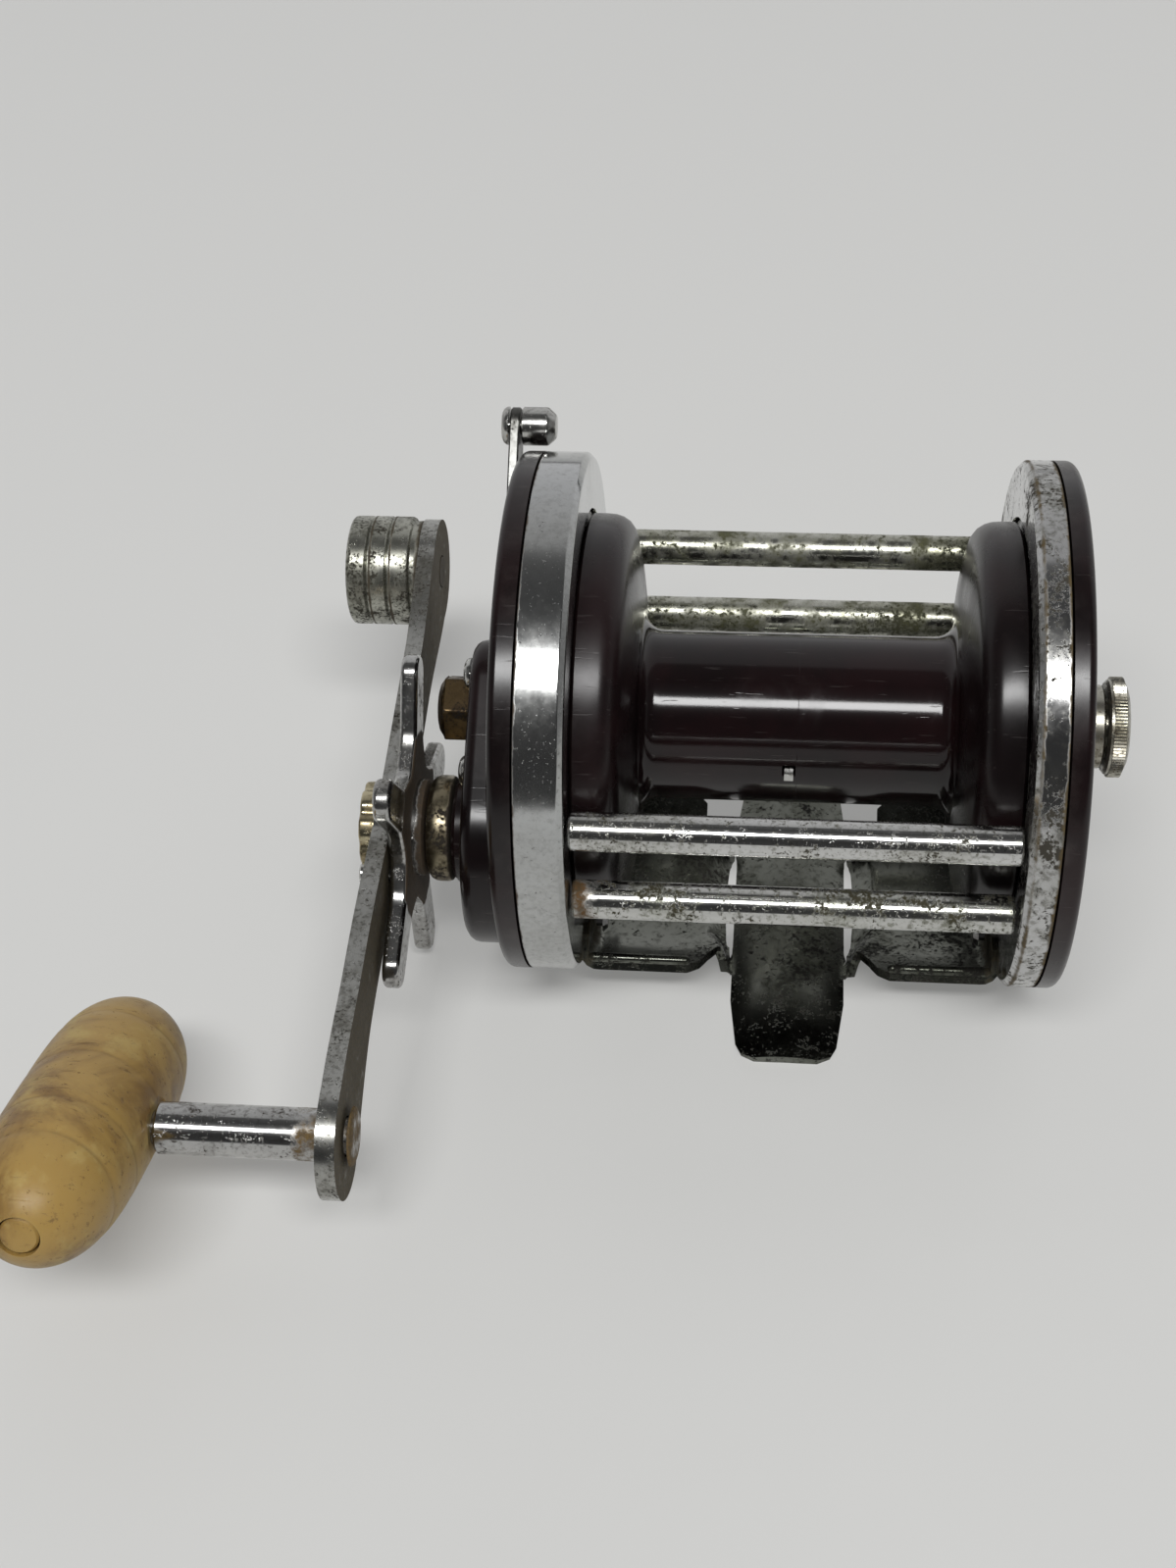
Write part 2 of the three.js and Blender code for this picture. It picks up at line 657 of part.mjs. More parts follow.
const spacer = turned([
  [-57.9, sleeveRadius + gap], [-57.9, 7.8], [-57.1, 8.7], [-55, 8.7], [-54.2, 8],
  [-54.2, 6.2], [-48.3, 6.2], [-48.3, sleeveRadius + gap], [-57.9, sleeveRadius + gap],
], 24)
add('spacer_sleeve', spacer, 'brass', drive)

// The star wheel: five fingers with round ends.
function star() {
  const shape = new THREE.Shape()
  const step = 2 * Math.PI / starArms
  const half = 3.2
  for (let i = 0; i < starArms; i++) {
    const angle = starAngle + i * step
    const along = new THREE.Vector2(Math.cos(angle), Math.sin(angle))
    const side = new THREE.Vector2(-along.y, along.x)
    const place = (reach, off) => along.clone().multiplyScalar(reach).addScaledVector(side, off)
    const tip = place(starReach - half, 0)
    const root = place(10.5, -half)
    if (i === 0) shape.moveTo(root.x, root.y)
    else shape.lineTo(root.x, root.y)
    shape.absarc(tip.x, tip.y, half, angle - Math.PI / 2, angle + Math.PI / 2, false)
    const back = place(10.5, half)
    shape.lineTo(back.x, back.y)
    const valley = angle + step / 2
    shape.lineTo(7.6 * Math.cos(valley), 7.6 * Math.sin(valley))
  }
  const blank = new THREE.ExtrudeGeometry(shape, { depth: 2.6, bevelEnabled: false, curveSegments: 6 })
  blank.applyMatrix4(new THREE.Matrix4().makeBasis(
    new THREE.Vector3(0, 1, 0), new THREE.Vector3(0, 0, 1), new THREE.Vector3(1, 0, 0)))
  blank.translate(armOut + armThickness + gap, 0, 0)
  const hub = bar(6.8, -61, -58.2, 24)
  return cut(join(blank, hub), sleeveHole)
}

add('star_wheel', star(), 'chrome', drive)

const handle = new THREE.Group()
handle.rotation.x = armAngle
drive.add(handle)

const armOutline = lobed([{ y: gripReach, z: 0, r: armEndRadius }])
const armBlank = plate(armOutline, armOut, armOut + armThickness)
const armMiddle = plate(lobed([{ y: 0, z: 0, r: armEndRadius }]), armOut, armOut + armThickness)
const armFar = at(plate(lobed([{ y: 0, z: 0, r: armEndRadius }]), armOut, armOut + armThickness),
  -weightReach, 0)
const armBar = plate(new THREE.Shape([
  new THREE.Vector2(-weightReach, -armHalfWidth), new THREE.Vector2(gripReach, -armHalfWidth),
  new THREE.Vector2(gripReach, armHalfWidth), new THREE.Vector2(-weightReach, armHalfWidth),
]), armOut, armOut + armThickness)
const armHoles = [
  bar(sleeveRadius + gap, -70, -60, 24),
  at(bar(3, -70, -60, 20), gripReach, 0),
  at(bar(3, -70, -60, 20), -weightReach, 0),
  at(bar(1.3, -70, -60, 12), 10, 0),
]
add('handle_arm', cut(join(armBlank, armMiddle, armFar, armBar), ...armHoles), 'chrome', handle)

const nutOutline = new THREE.Shape(Array.from({ length: 32 }, (unused, i) => {
  const angle = 2 * Math.PI * i / 32
  const r = 6.9 + 0.35 * Math.cos(8 * angle)
  return new THREE.Vector2(r * Math.cos(angle), r * Math.sin(angle))
}))
const nutBlank = plate(nutOutline, -69, armOut - gap)
add('handle_nut', cut(nutBlank, bar(sleeveRadius + gap, -71, -60, 24)), 'brass', handle)
const lockScrew = add('nut_lock_screw', screw(1.9, 2.4, 1, 1.8), 'chrome', handle)
lockScrew.position.set(armOut - gap, 10, 0)

const weight = turned([
  [-79.2, 0], [-79.2, 8.6], [-78, 9.7], [-68, 9.7], [-67.5, 8.7], [armOut - gap, 8.7],
  [armOut - gap, 2.7], [armOut + armThickness + 0.1, 2.7], [armOut + armThickness + 0.1, 0],
], 28)
add('counterweight', at(weight, -weightReach, 0), 'chrome', handle)

const gripPost = turned([
  [-108, 0], [-108, 2.4], [-91.2, 2.4], [-91.2, gripPostRadius], [armOut - gap, gripPostRadius],
  [armOut - gap, 2.7], [armOut + armThickness + gap, 2.7], [armOut + armThickness + gap, 4.4],
  [armOut + armThickness + 0.8, 4], [armOut + armThickness + 0.8, 0],
], 24)
add('grip_post', at(gripPost, gripReach, 0), 'chrome', handle)

// The cross grip: a barrel turned about its own axis, bored for the post.
const grip = new THREE.Group()
grip.position.set(gripX, gripReach, 0)
grip.rotation.x = gripTurn
handle.add(grip)
const gripOutline = []
const gripSteps = 12
for (let i = 0; i <= gripSteps; i++) {
  const angle = Math.PI * i / gripSteps
  const along = -Math.cos(angle) * gripLength / 2
  const full = Math.sqrt(1 - Math.cos(angle) ** 4)
  gripOutline.push([along, i % gripSteps === 0 ? 0 : gripRadius * full])
}
const postBore = bar(2.4 + runFit, -6.2, 20, 20)
const barrel = turned(gripOutline, 20).rotateZ(Math.PI / 2)
const plugPocket = bar(3.1, 25, 40, 16).rotateZ(Math.PI / 2)
add('grip', cut(barrel, postBore, plugPocket, bar(5, 10.4, 20, 20)), 'amber', grip)
const plugBlank = bar(2.8, 25.3, 29.3, 16).rotateZ(Math.PI / 2)
add('grip_plug', plugBlank, 'amber', grip)

// The dog rides just clear of the ratchet's tips.
const dogReach = Math.hypot(dogPivot.y - postY, dogPivot.z - postZ)
const dog = new THREE.Group()
dog.position.set(0, dogPivot.y, dogPivot.z)
dog.rotation.x = Math.atan2(postZ - dogPivot.z, postY - dogPivot.y) + 0.75
onAxis.add(dog)
const dogOutline = lobed([{ y: 0, z: 0, r: 2.2 }, { y: dogReach - 7, z: 0, r: 0.9 }])
add('dog', cut(plate(dogOutline, -39.6, -38.2), bar(1.1 + runFit, -42, -34, 16)), 'steel', dog)

export default reel
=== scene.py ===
import json
import math

import bmesh
import bpy
from mathutils import Matrix, Vector


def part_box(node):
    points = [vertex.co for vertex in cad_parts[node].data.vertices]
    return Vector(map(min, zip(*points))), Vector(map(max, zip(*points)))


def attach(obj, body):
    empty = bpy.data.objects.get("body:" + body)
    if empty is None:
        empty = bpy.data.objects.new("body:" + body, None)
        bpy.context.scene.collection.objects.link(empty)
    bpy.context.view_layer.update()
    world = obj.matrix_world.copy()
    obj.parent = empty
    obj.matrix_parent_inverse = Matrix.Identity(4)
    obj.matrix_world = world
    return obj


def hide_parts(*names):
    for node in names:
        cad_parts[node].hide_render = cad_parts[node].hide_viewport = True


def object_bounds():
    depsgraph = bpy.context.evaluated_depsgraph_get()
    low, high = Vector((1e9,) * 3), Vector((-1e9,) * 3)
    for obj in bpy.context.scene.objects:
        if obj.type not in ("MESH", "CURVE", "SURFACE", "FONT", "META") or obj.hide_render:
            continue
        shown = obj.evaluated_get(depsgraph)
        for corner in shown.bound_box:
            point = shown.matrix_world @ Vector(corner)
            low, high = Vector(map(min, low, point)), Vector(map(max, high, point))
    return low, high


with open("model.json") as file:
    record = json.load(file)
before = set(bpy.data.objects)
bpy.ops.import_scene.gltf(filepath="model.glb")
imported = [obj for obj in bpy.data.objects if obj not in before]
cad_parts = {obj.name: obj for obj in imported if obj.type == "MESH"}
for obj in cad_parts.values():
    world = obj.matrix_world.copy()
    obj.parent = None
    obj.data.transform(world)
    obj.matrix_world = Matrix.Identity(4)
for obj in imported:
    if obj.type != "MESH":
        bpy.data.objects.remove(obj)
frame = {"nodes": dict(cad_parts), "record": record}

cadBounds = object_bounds()
record = frame["record"]
mm = 0.001


# where things are, in millimetres, taken from the frame

def span(node):
    low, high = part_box(node)
    return Vector(low) / mm, Vector(high) / mm


def pivot(joint):
    found = next(j for j in record["behaviour"]["joints"] if j["name"] == joint)
    return Vector(found["pos_m"]) / mm


def direction(joint):
    found = next(j for j in record["behaviour"]["joints"] if j["name"] == joint)
    return Vector(found["axis"])


spoolAxis = pivot("spool_spin")
postAxis = pivot("handle_turn")
gripAxis = pivot("grip_spin")
leverAxis = pivot("lever_turn")
armTurn = math.atan2(gripAxis.z - postAxis.z, gripAxis.y - postAxis.y)


# shaping tools, all in millimetres about the X axis

def arc(centreX, centreR, radius, start, end, count=5):
    points = []
    for i in range(count + 1):
        angle = math.radians(start + (end - start) * i / count)
        points.append((centreX + radius * math.cos(angle), centreR + radius * math.sin(angle)))
    return points


def soften(bm, width, segments=2, angle=28):
    edges = [e for e in bm.edges if e.is_manifold and e.calc_face_angle(0) > math.radians(angle)]
    if edges:
        bmesh.ops.bevel(bm, geom=edges, offset=width, offset_type="OFFSET", segments=segments,
                        profile=0.5, affect="EDGES", clamp_overlap=True, material=-1)
    return bm


# the faces are drawn out along X
def extrudeAlong(bm, reach):
    out = bmesh.ops.extrude_face_region(bm, geom=bm.faces[:])["geom"]
    bmesh.ops.translate(bm, vec=(reach, 0, 0), verts=[g for g in out if isinstance(g, bmesh.types.BMVert)])


def lathe(outline, steps=96, edge=0.0, segments=2):
    bm = bmesh.new()
    rim = [bm.verts.new((x, 0, r)) for x, r in outline]
    edges = [bm.edges.new(pair) for pair in zip(rim, rim[1:])]
    bmesh.ops.spin(bm, geom=rim + edges, cent=(0, 0, 0), axis=(1, 0, 0), angle=2 * math.pi,
                   steps=steps, use_merge=True)
    bmesh.ops.remove_doubles(bm, verts=bm.verts, dist=0.0005)
    bmesh.ops.recalc_face_normals(bm, faces=bm.faces)
    if edge:
        soften(bm, edge, segments)
    return bm


def shift(bm, x=0.0, y=0.0, z=0.0):
    bmesh.ops.translate(bm, vec=(x, y, z), verts=bm.verts)
    return bm


def turn(bm, angle, axis="X"):
    bmesh.ops.rotate(bm, cent=(0, 0, 0), matrix=Matrix.Rotation(angle, 3, axis), verts=bm.verts)
    return bm


def flip(bm):
    bmesh.ops.scale(bm, vec=(-1, 1, 1), verts=bm.verts)
    bmesh.ops.reverse_faces(bm, faces=bm.faces)
    return bm


# the solid round a few discs: each level is (x, how far the discs are drawn in)
def hull(discs, levels, steps=56):
    bm = bmesh.new()
    for y, z, radius in discs:
        for x, inset in levels:
            made = bmesh.ops.create_circle(bm, segments=steps, radius=radius - inset)["verts"]
            bmesh.ops.rotate(bm, cent=(0, 0, 0), matrix=Matrix.Rotation(math.pi / 2, 3, "Y"), verts=made)
            bmesh.ops.translate(bm, vec=(x, y, z), verts=made)
    bmesh.ops.remove_doubles(bm, verts=bm.verts, dist=0.001)
    wrapped = bmesh.ops.convex_hull(bm, input=bm.verts)
    left = wrapped["geom_interior"] + wrapped["geom_unused"]
    spare = {g for g in left if isinstance(g, bmesh.types.BMVert)}
    bmesh.ops.delete(bm, geom=list(spare), context="VERTS")
    loose = [e for e in bm.edges if not e.link_faces]
    bmesh.ops.delete(bm, geom=loose, context="EDGES")
    bmesh.ops.dissolve_limit(bm, angle_limit=math.radians(0.5), verts=bm.verts, edges=bm.edges)
    bmesh.ops.recalc_face_normals(bm, faces=bm.faces)
    return bm


def rounding(fromX, toX, radius, count=4):
    step = math.copysign(1, toX - fromX)
    levels = [(fromX, 0.0)]
    for i in range(count + 1):
        angle = math.pi / 2 * i / count
        levels.append((toX - step * radius * (1 - math.sin(angle)), radius * (1 - math.cos(angle))))
    return levels


def asObject(bm, name):
    mesh = bpy.data.meshes.new(name)
    bm.to_mesh(mesh)
    bm.free()
    return bpy.data.objects.new(name, mesh)


def combine(bm, other, operation="DIFFERENCE"):
    base, tool = asObject(bm, "base"), asObject(other, "tool")
    for item in (base, tool):
        bpy.context.scene.collection.objects.link(item)
    step = base.modifiers.new("combine", "BOOLEAN")
    step.object, step.operation, step.solver = tool, operation, "EXACT"
    done = base.evaluated_get(bpy.context.evaluated_depsgraph_get())
    result = bmesh.new()
    result.from_mesh(done.to_mesh())
    done.to_mesh_clear()
    for item in (base, tool):
        mesh = item.data
        bpy.data.objects.remove(item)
        bpy.data.meshes.remove(mesh)
    return result


def rod(radius, fromX, toX, steps=48):
    return lathe([(fromX, 0), (fromX, radius), (toX, radius), (toX, 0)], steps)


def box(x, y, z):
    bm = bmesh.new()
    bmesh.ops.create_cube(bm, size=1)
    bmesh.ops.scale(bm, vec=(x, y, z), verts=bm.verts)
    return bm


def gather(*parts):
    whole = bmesh.new()
    for part in parts:
        mesh = bpy.data.meshes.new("part")
        part.to_mesh(mesh)
        part.free()
        whole.from_mesh(mesh)
        bpy.data.meshes.remove(mesh)
    return whole


# turns finished work into a piece that rides on its body
def makePiece(bm, name, material, body, replaced, edge=0.0, sharp=32):
    bmesh.ops.scale(bm, vec=(mm, mm, mm), verts=bm.verts)
    piece = asObject(bm, name)
    bpy.context.scene.collection.objects.link(piece)
    piece.data.materials.append(material)
    piece.data.shade_smooth()
    piece.data.set_sharp_from_angle(angle=math.radians(sharp))
    if edge:
        bevel = piece.modifiers.new("edges", "BEVEL")
        bevel.width, bevel.segments, bevel.limit_method = edge * mm, 2, "ANGLE"
        bevel.angle_limit = math.radians(sharp)
        bevel.harden_normals = False
    weighted = piece.modifiers.new("normals", "WEIGHTED_NORMAL")
    weighted.keep_sharp = True
    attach(piece, body)
    if replaced:
        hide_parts(*replaced)
    return piece


# shared surface effects

def addNode(tree, kind, values=None, **settings):
    node = tree.nodes.new("ShaderNode" + kind)
    for key, value in settings.items():
        setattr(node, key, value)
    for key, value in (values or {}).items():
        if isinstance(value, bpy.types.NodeSocket):
            tree.links.new(value, node.inputs[key])
        else:
            node.inputs[key].default_value = value
    return node


def calc(tree, operation, a, b=0.0, c=0.0, clamp=False):
    return addNode(tree, "Math", {0: a, 1: b, 2: c}, operation=operation, use_clamp=clamp).outputs[0]


def times(tree, *values, **options):
    return calc(tree, "MULTIPLY", *values, **options)


def plus(tree, *values, **options):
    return calc(tree, "ADD", *values, **options)


def minus(tree, *values):
    return calc(tree, "SUBTRACT", *values)


def blendColour(tree, factor, a, b, mode="MIX"):
    node = addNode(tree, "Mix", {0: factor, 6: a, 7: b}, data_type="RGBA", blend_type=mode)
    return node.outputs[2]


def blendValue(tree, factor, a, b):
    return addNode(tree, "Mix", {0: factor, 2: a, 3: b}, data_type="FLOAT").outputs[0]


def remap(tree, value, low, high, toLow=0.0, toHigh=1.0):
    node = addNode(tree, "MapRange", {0: value, 1: low, 2: high, 3: toLow, 4: toHigh}, clamp=True)
    node.interpolation_type = "SMOOTHSTEP"
    return node.outputs[0]


def noise(tree, vector, scale, detail=4.0, roughness=0.6, distortion=0.0):
    values = {"Vector": vector, "Scale": scale, "Detail": detail, "Roughness": roughness,
              "Distortion": distortion}
    return addNode(tree, "TexNoise", values).outputs["Fac"]


def newGroup(name, inputs, outputs):
    tree = bpy.data.node_groups.new(name, "ShaderNodeTree")
    kinds = {"value": "NodeSocketFloat", "colour": "NodeSocketColor", "vector": "NodeSocketVector"}
    for label, kind, start in inputs:
        socket = tree.interface.new_socket(name=label, in_out="INPUT", socket_type=kinds[kind])
        if start is not None:
            socket.default_value = start
    for label, kind in outputs:
        tree.interface.new_socket(name=label, in_out="OUTPUT", socket_type=kinds[kind])
    return tree, tree.nodes.new("NodeGroupInput").outputs, tree.nodes.new("NodeGroupOutput").inputs


# metal with clouds of dullness, pits that gather in them, and grime where a mask says
def makeAgedMetal():
    tree, given, out = newGroup("agedMetal", [
        ("Vector", "vector", None),
        ("Clean", "colour", (0.75, 0.76, 0.76, 1)), ("Dull", "colour", (0.5, 0.5, 0.48, 1)),
        ("Pit", "colour", (0.05, 0.045, 0.04, 1)), ("Grime Colour", "colour", (0.09, 0.06, 0.04, 1)),
        ("Cloud Size", "value", 60.0), ("Cloud Amount", "value", 0.5),
        ("Pit Size", "value", 700.0), ("Pit Cover", "value", 0.3),
        ("Grime", "value", 0.0), ("Clean Roughness", "value", 0.12), ("Dull Roughness", "value", 0.35),
    ], [("Color", "colour"), ("Roughness", "value"), ("Metallic", "value"), ("Height", "value")])
    cloud = noise(tree, given["Vector"], given["Cloud Size"], 7.0, 0.62, 0.4)
    clouds = times(tree, remap(tree, cloud, 0.4, 0.68), given["Cloud Amount"], clamp=True)
    fine = noise(tree, given["Vector"], given["Pit Size"], 5.0, 0.72)
    coarse = noise(tree, given["Vector"], times(tree, given["Pit Size"], 0.16), 5.0, 0.65)
    reach = times(tree, given["Pit Cover"], plus(tree, clouds, remap(tree, coarse, 0.35, 0.7)))
    threshold = minus(tree, 0.69, times(tree, reach, 0.17))
    pits = times(tree, minus(tree, fine, threshold), 18.0, clamp=True)
    ragged = plus(tree, given["Grime"], times(tree, minus(tree, coarse, 0.5), 1.4))
    grime = times(tree, remap(tree, ragged, 0.3, 0.75), times(tree, given["Grime"], 3.0, clamp=True))
    mottled = noise(tree, given["Vector"], times(tree, given["Pit Size"], 0.5), 7.0, 0.74, 0.3)
    tarnish = remap(tree, plus(tree, mottled, times(tree, clouds, 0.12)), 0.48, 0.68)
    tarnish = times(tree, tarnish, given["Pit Cover"], clamp=True)
    colour = blendColour(tree, clouds, given["Clean"], given["Dull"])
    colour = blendColour(tree, times(tree, tarnish, 0.8), colour,
                         blendColour(tree, 0.45, given["Pit"], given["Dull"]))
    colour = blendColour(tree, pits, colour, given["Pit"])
    crust = blendColour(tree, remap(tree, fine, 0.4, 0.62),
                        blendColour(tree, 0.6, given["Grime Colour"], given["Pit"]), given["Grime Colour"])
    tree.links.new(blendColour(tree, grime, colour, crust), out["Color"])
    rough = blendValue(tree, clouds, given["Clean Roughness"], given["Dull Roughness"])
    rough = blendValue(tree, calc(tree, "MAXIMUM", pits, grime), rough, 0.72)
    smear = plus(tree, times(tree, minus(tree, coarse, 0.5), 0.1), times(tree, tarnish, 0.1))
    tree.links.new(plus(tree, rough, smear, clamp=True), out["Roughness"])
    hidden = calc(tree, "MAXIMUM", times(tree, pits, 0.55), times(tree, grime, 0.65))
    tree.links.new(minus(tree, 1.0, hidden), out["Metallic"])
    sunk = plus(tree, times(tree, pits, -1.0), times(tree, cloud, 0.25))
    tree.links.new(plus(tree, sunk, times(tree, grime, 0.4)), out["Height"])
    return tree


# a soft band, one in the middle and nothing past its reach
def makeBand():
    tree, given, out = newGroup("band", [
        ("Value", "value", 0.0), ("Centre", "value", 0.0), ("Reach", "value", 0.01),
    ], [("Mask", "value")])
    away = calc(tree, "ABSOLUTE", minus(tree, given["Value"], given["Centre"]))
    tree.links.new(remap(tree, calc(tree, "DIVIDE", away, given["Reach"]), 1.0, 0.0), out["Mask"])
    return tree


# distance from the X axis, after the vector is centred
def makeRadius():
    tree, given, out = newGroup("radius", [("Vector", "vector", None)],
                                [("Radius", "value"), ("Along", "value")])
    parts = addNode(tree, "SeparateXYZ", {0: given["Vector"]}).outputs
    square = plus(tree, times(tree, parts[1], parts[1]), times(tree, parts[2], parts[2]))
    tree.links.new(calc(tree, "SQRT", square), out["Radius"])
    tree.links.new(parts[0], out["Along"])
    return tree


# fine lines left by a lathe, across the radius and along the axis
def makeTurned():
    tree, given, out = newGroup("turned", [
        ("Radius", "value", 0.0), ("Along", "value", 0.0), ("Lines", "value", 1500.0),
    ], [("Height", "value")])
    place = addNode(tree, "CombineXYZ", {0: given["Radius"], 1: given["Along"], 2: 0.0}).outputs[0]
    tree.links.new(noise(tree, place, given["Lines"], 2.0, 0.6), out["Height"])
    return tree


# rubbed edges and dust on dark plastic
def makeRubbed():
    tree, given, out = newGroup("rubbed", [
        ("Vector", "vector", None), ("Amount", "value", 0.6), ("Dust Size", "value", 90.0),
    ], [("Edge", "value"), ("Dust", "value"), ("Scratch", "value")])
    point = addNode(tree, "NewGeometry").outputs["Pointiness"]
    patch = noise(tree, given["Vector"], 220.0, 5.0, 0.65)
    raised = remap(tree, plus(tree, point, times(tree, minus(tree, patch, 0.5), 0.12)), 0.53, 0.62)
    tree.links.new(times(tree, raised, given["Amount"], clamp=True), out["Edge"])
    dust = noise(tree, given["Vector"], given["Dust Size"], 8.0, 0.7, 0.5)
    tree.links.new(times(tree, remap(tree, dust, 0.5, 0.78), given["Amount"], clamp=True), out["Dust"])
    stretched = addNode(tree, "Mapping", {"Vector": given["Vector"], "Rotation": (0.4, 0.9, 0.3),
                                          "Scale": (1.0, 14.0, 14.0)}).outputs[0]
    lines = noise(tree, stretched, 160.0, 3.0, 0.5)
    tree.links.new(times(tree, minus(tree, lines, 0.66), 12.0, clamp=True), out["Scratch"])
    return tree


groups = {"agedMetal": makeAgedMetal(), "band": makeBand(), "radius": makeRadius(), "turned": makeTurned(),
          "rubbed": makeRubbed()}


def useGroup(tree, name, values=None):
    node = addNode(tree, "Group", node_tree=groups[name])
    for key, value in (values or {}).items():
        if isinstance(value, bpy.types.NodeSocket):
            tree.links.new(value, node.inputs[key])
        else:
            node.inputs[key].default_value = value
    return node.outputs


def newMaterial(name):
    material = bpy.data.materials.new(name)
    material.use_nodes = True
    tree = material.node_tree
    tree.nodes.clear()
    shader = addNode(tree, "BsdfPrincipled")
    end = addNode(tree, "OutputMaterial")
    tree.links.new(shader.outputs[0], end.inputs[0])
    place = addNode(tree, "TexCoord").outputs["Object"]
    return material, tree, shader.inputs, place


def addBump(tree, height, shader, strength, depth):
    bump = addNode(tree, "Bump", {"Height": height, "Strength": strength, "Distance": depth * mm})
    tree.links.new(bump.outputs[0], shader["Normal"])


def centred(tree, place, axis):
    offset = (0, -axis.y * mm, -axis.z * mm)
    return addNode(tree, "Mapping", {"Vector": place, "Location": offset}).outputs[0]


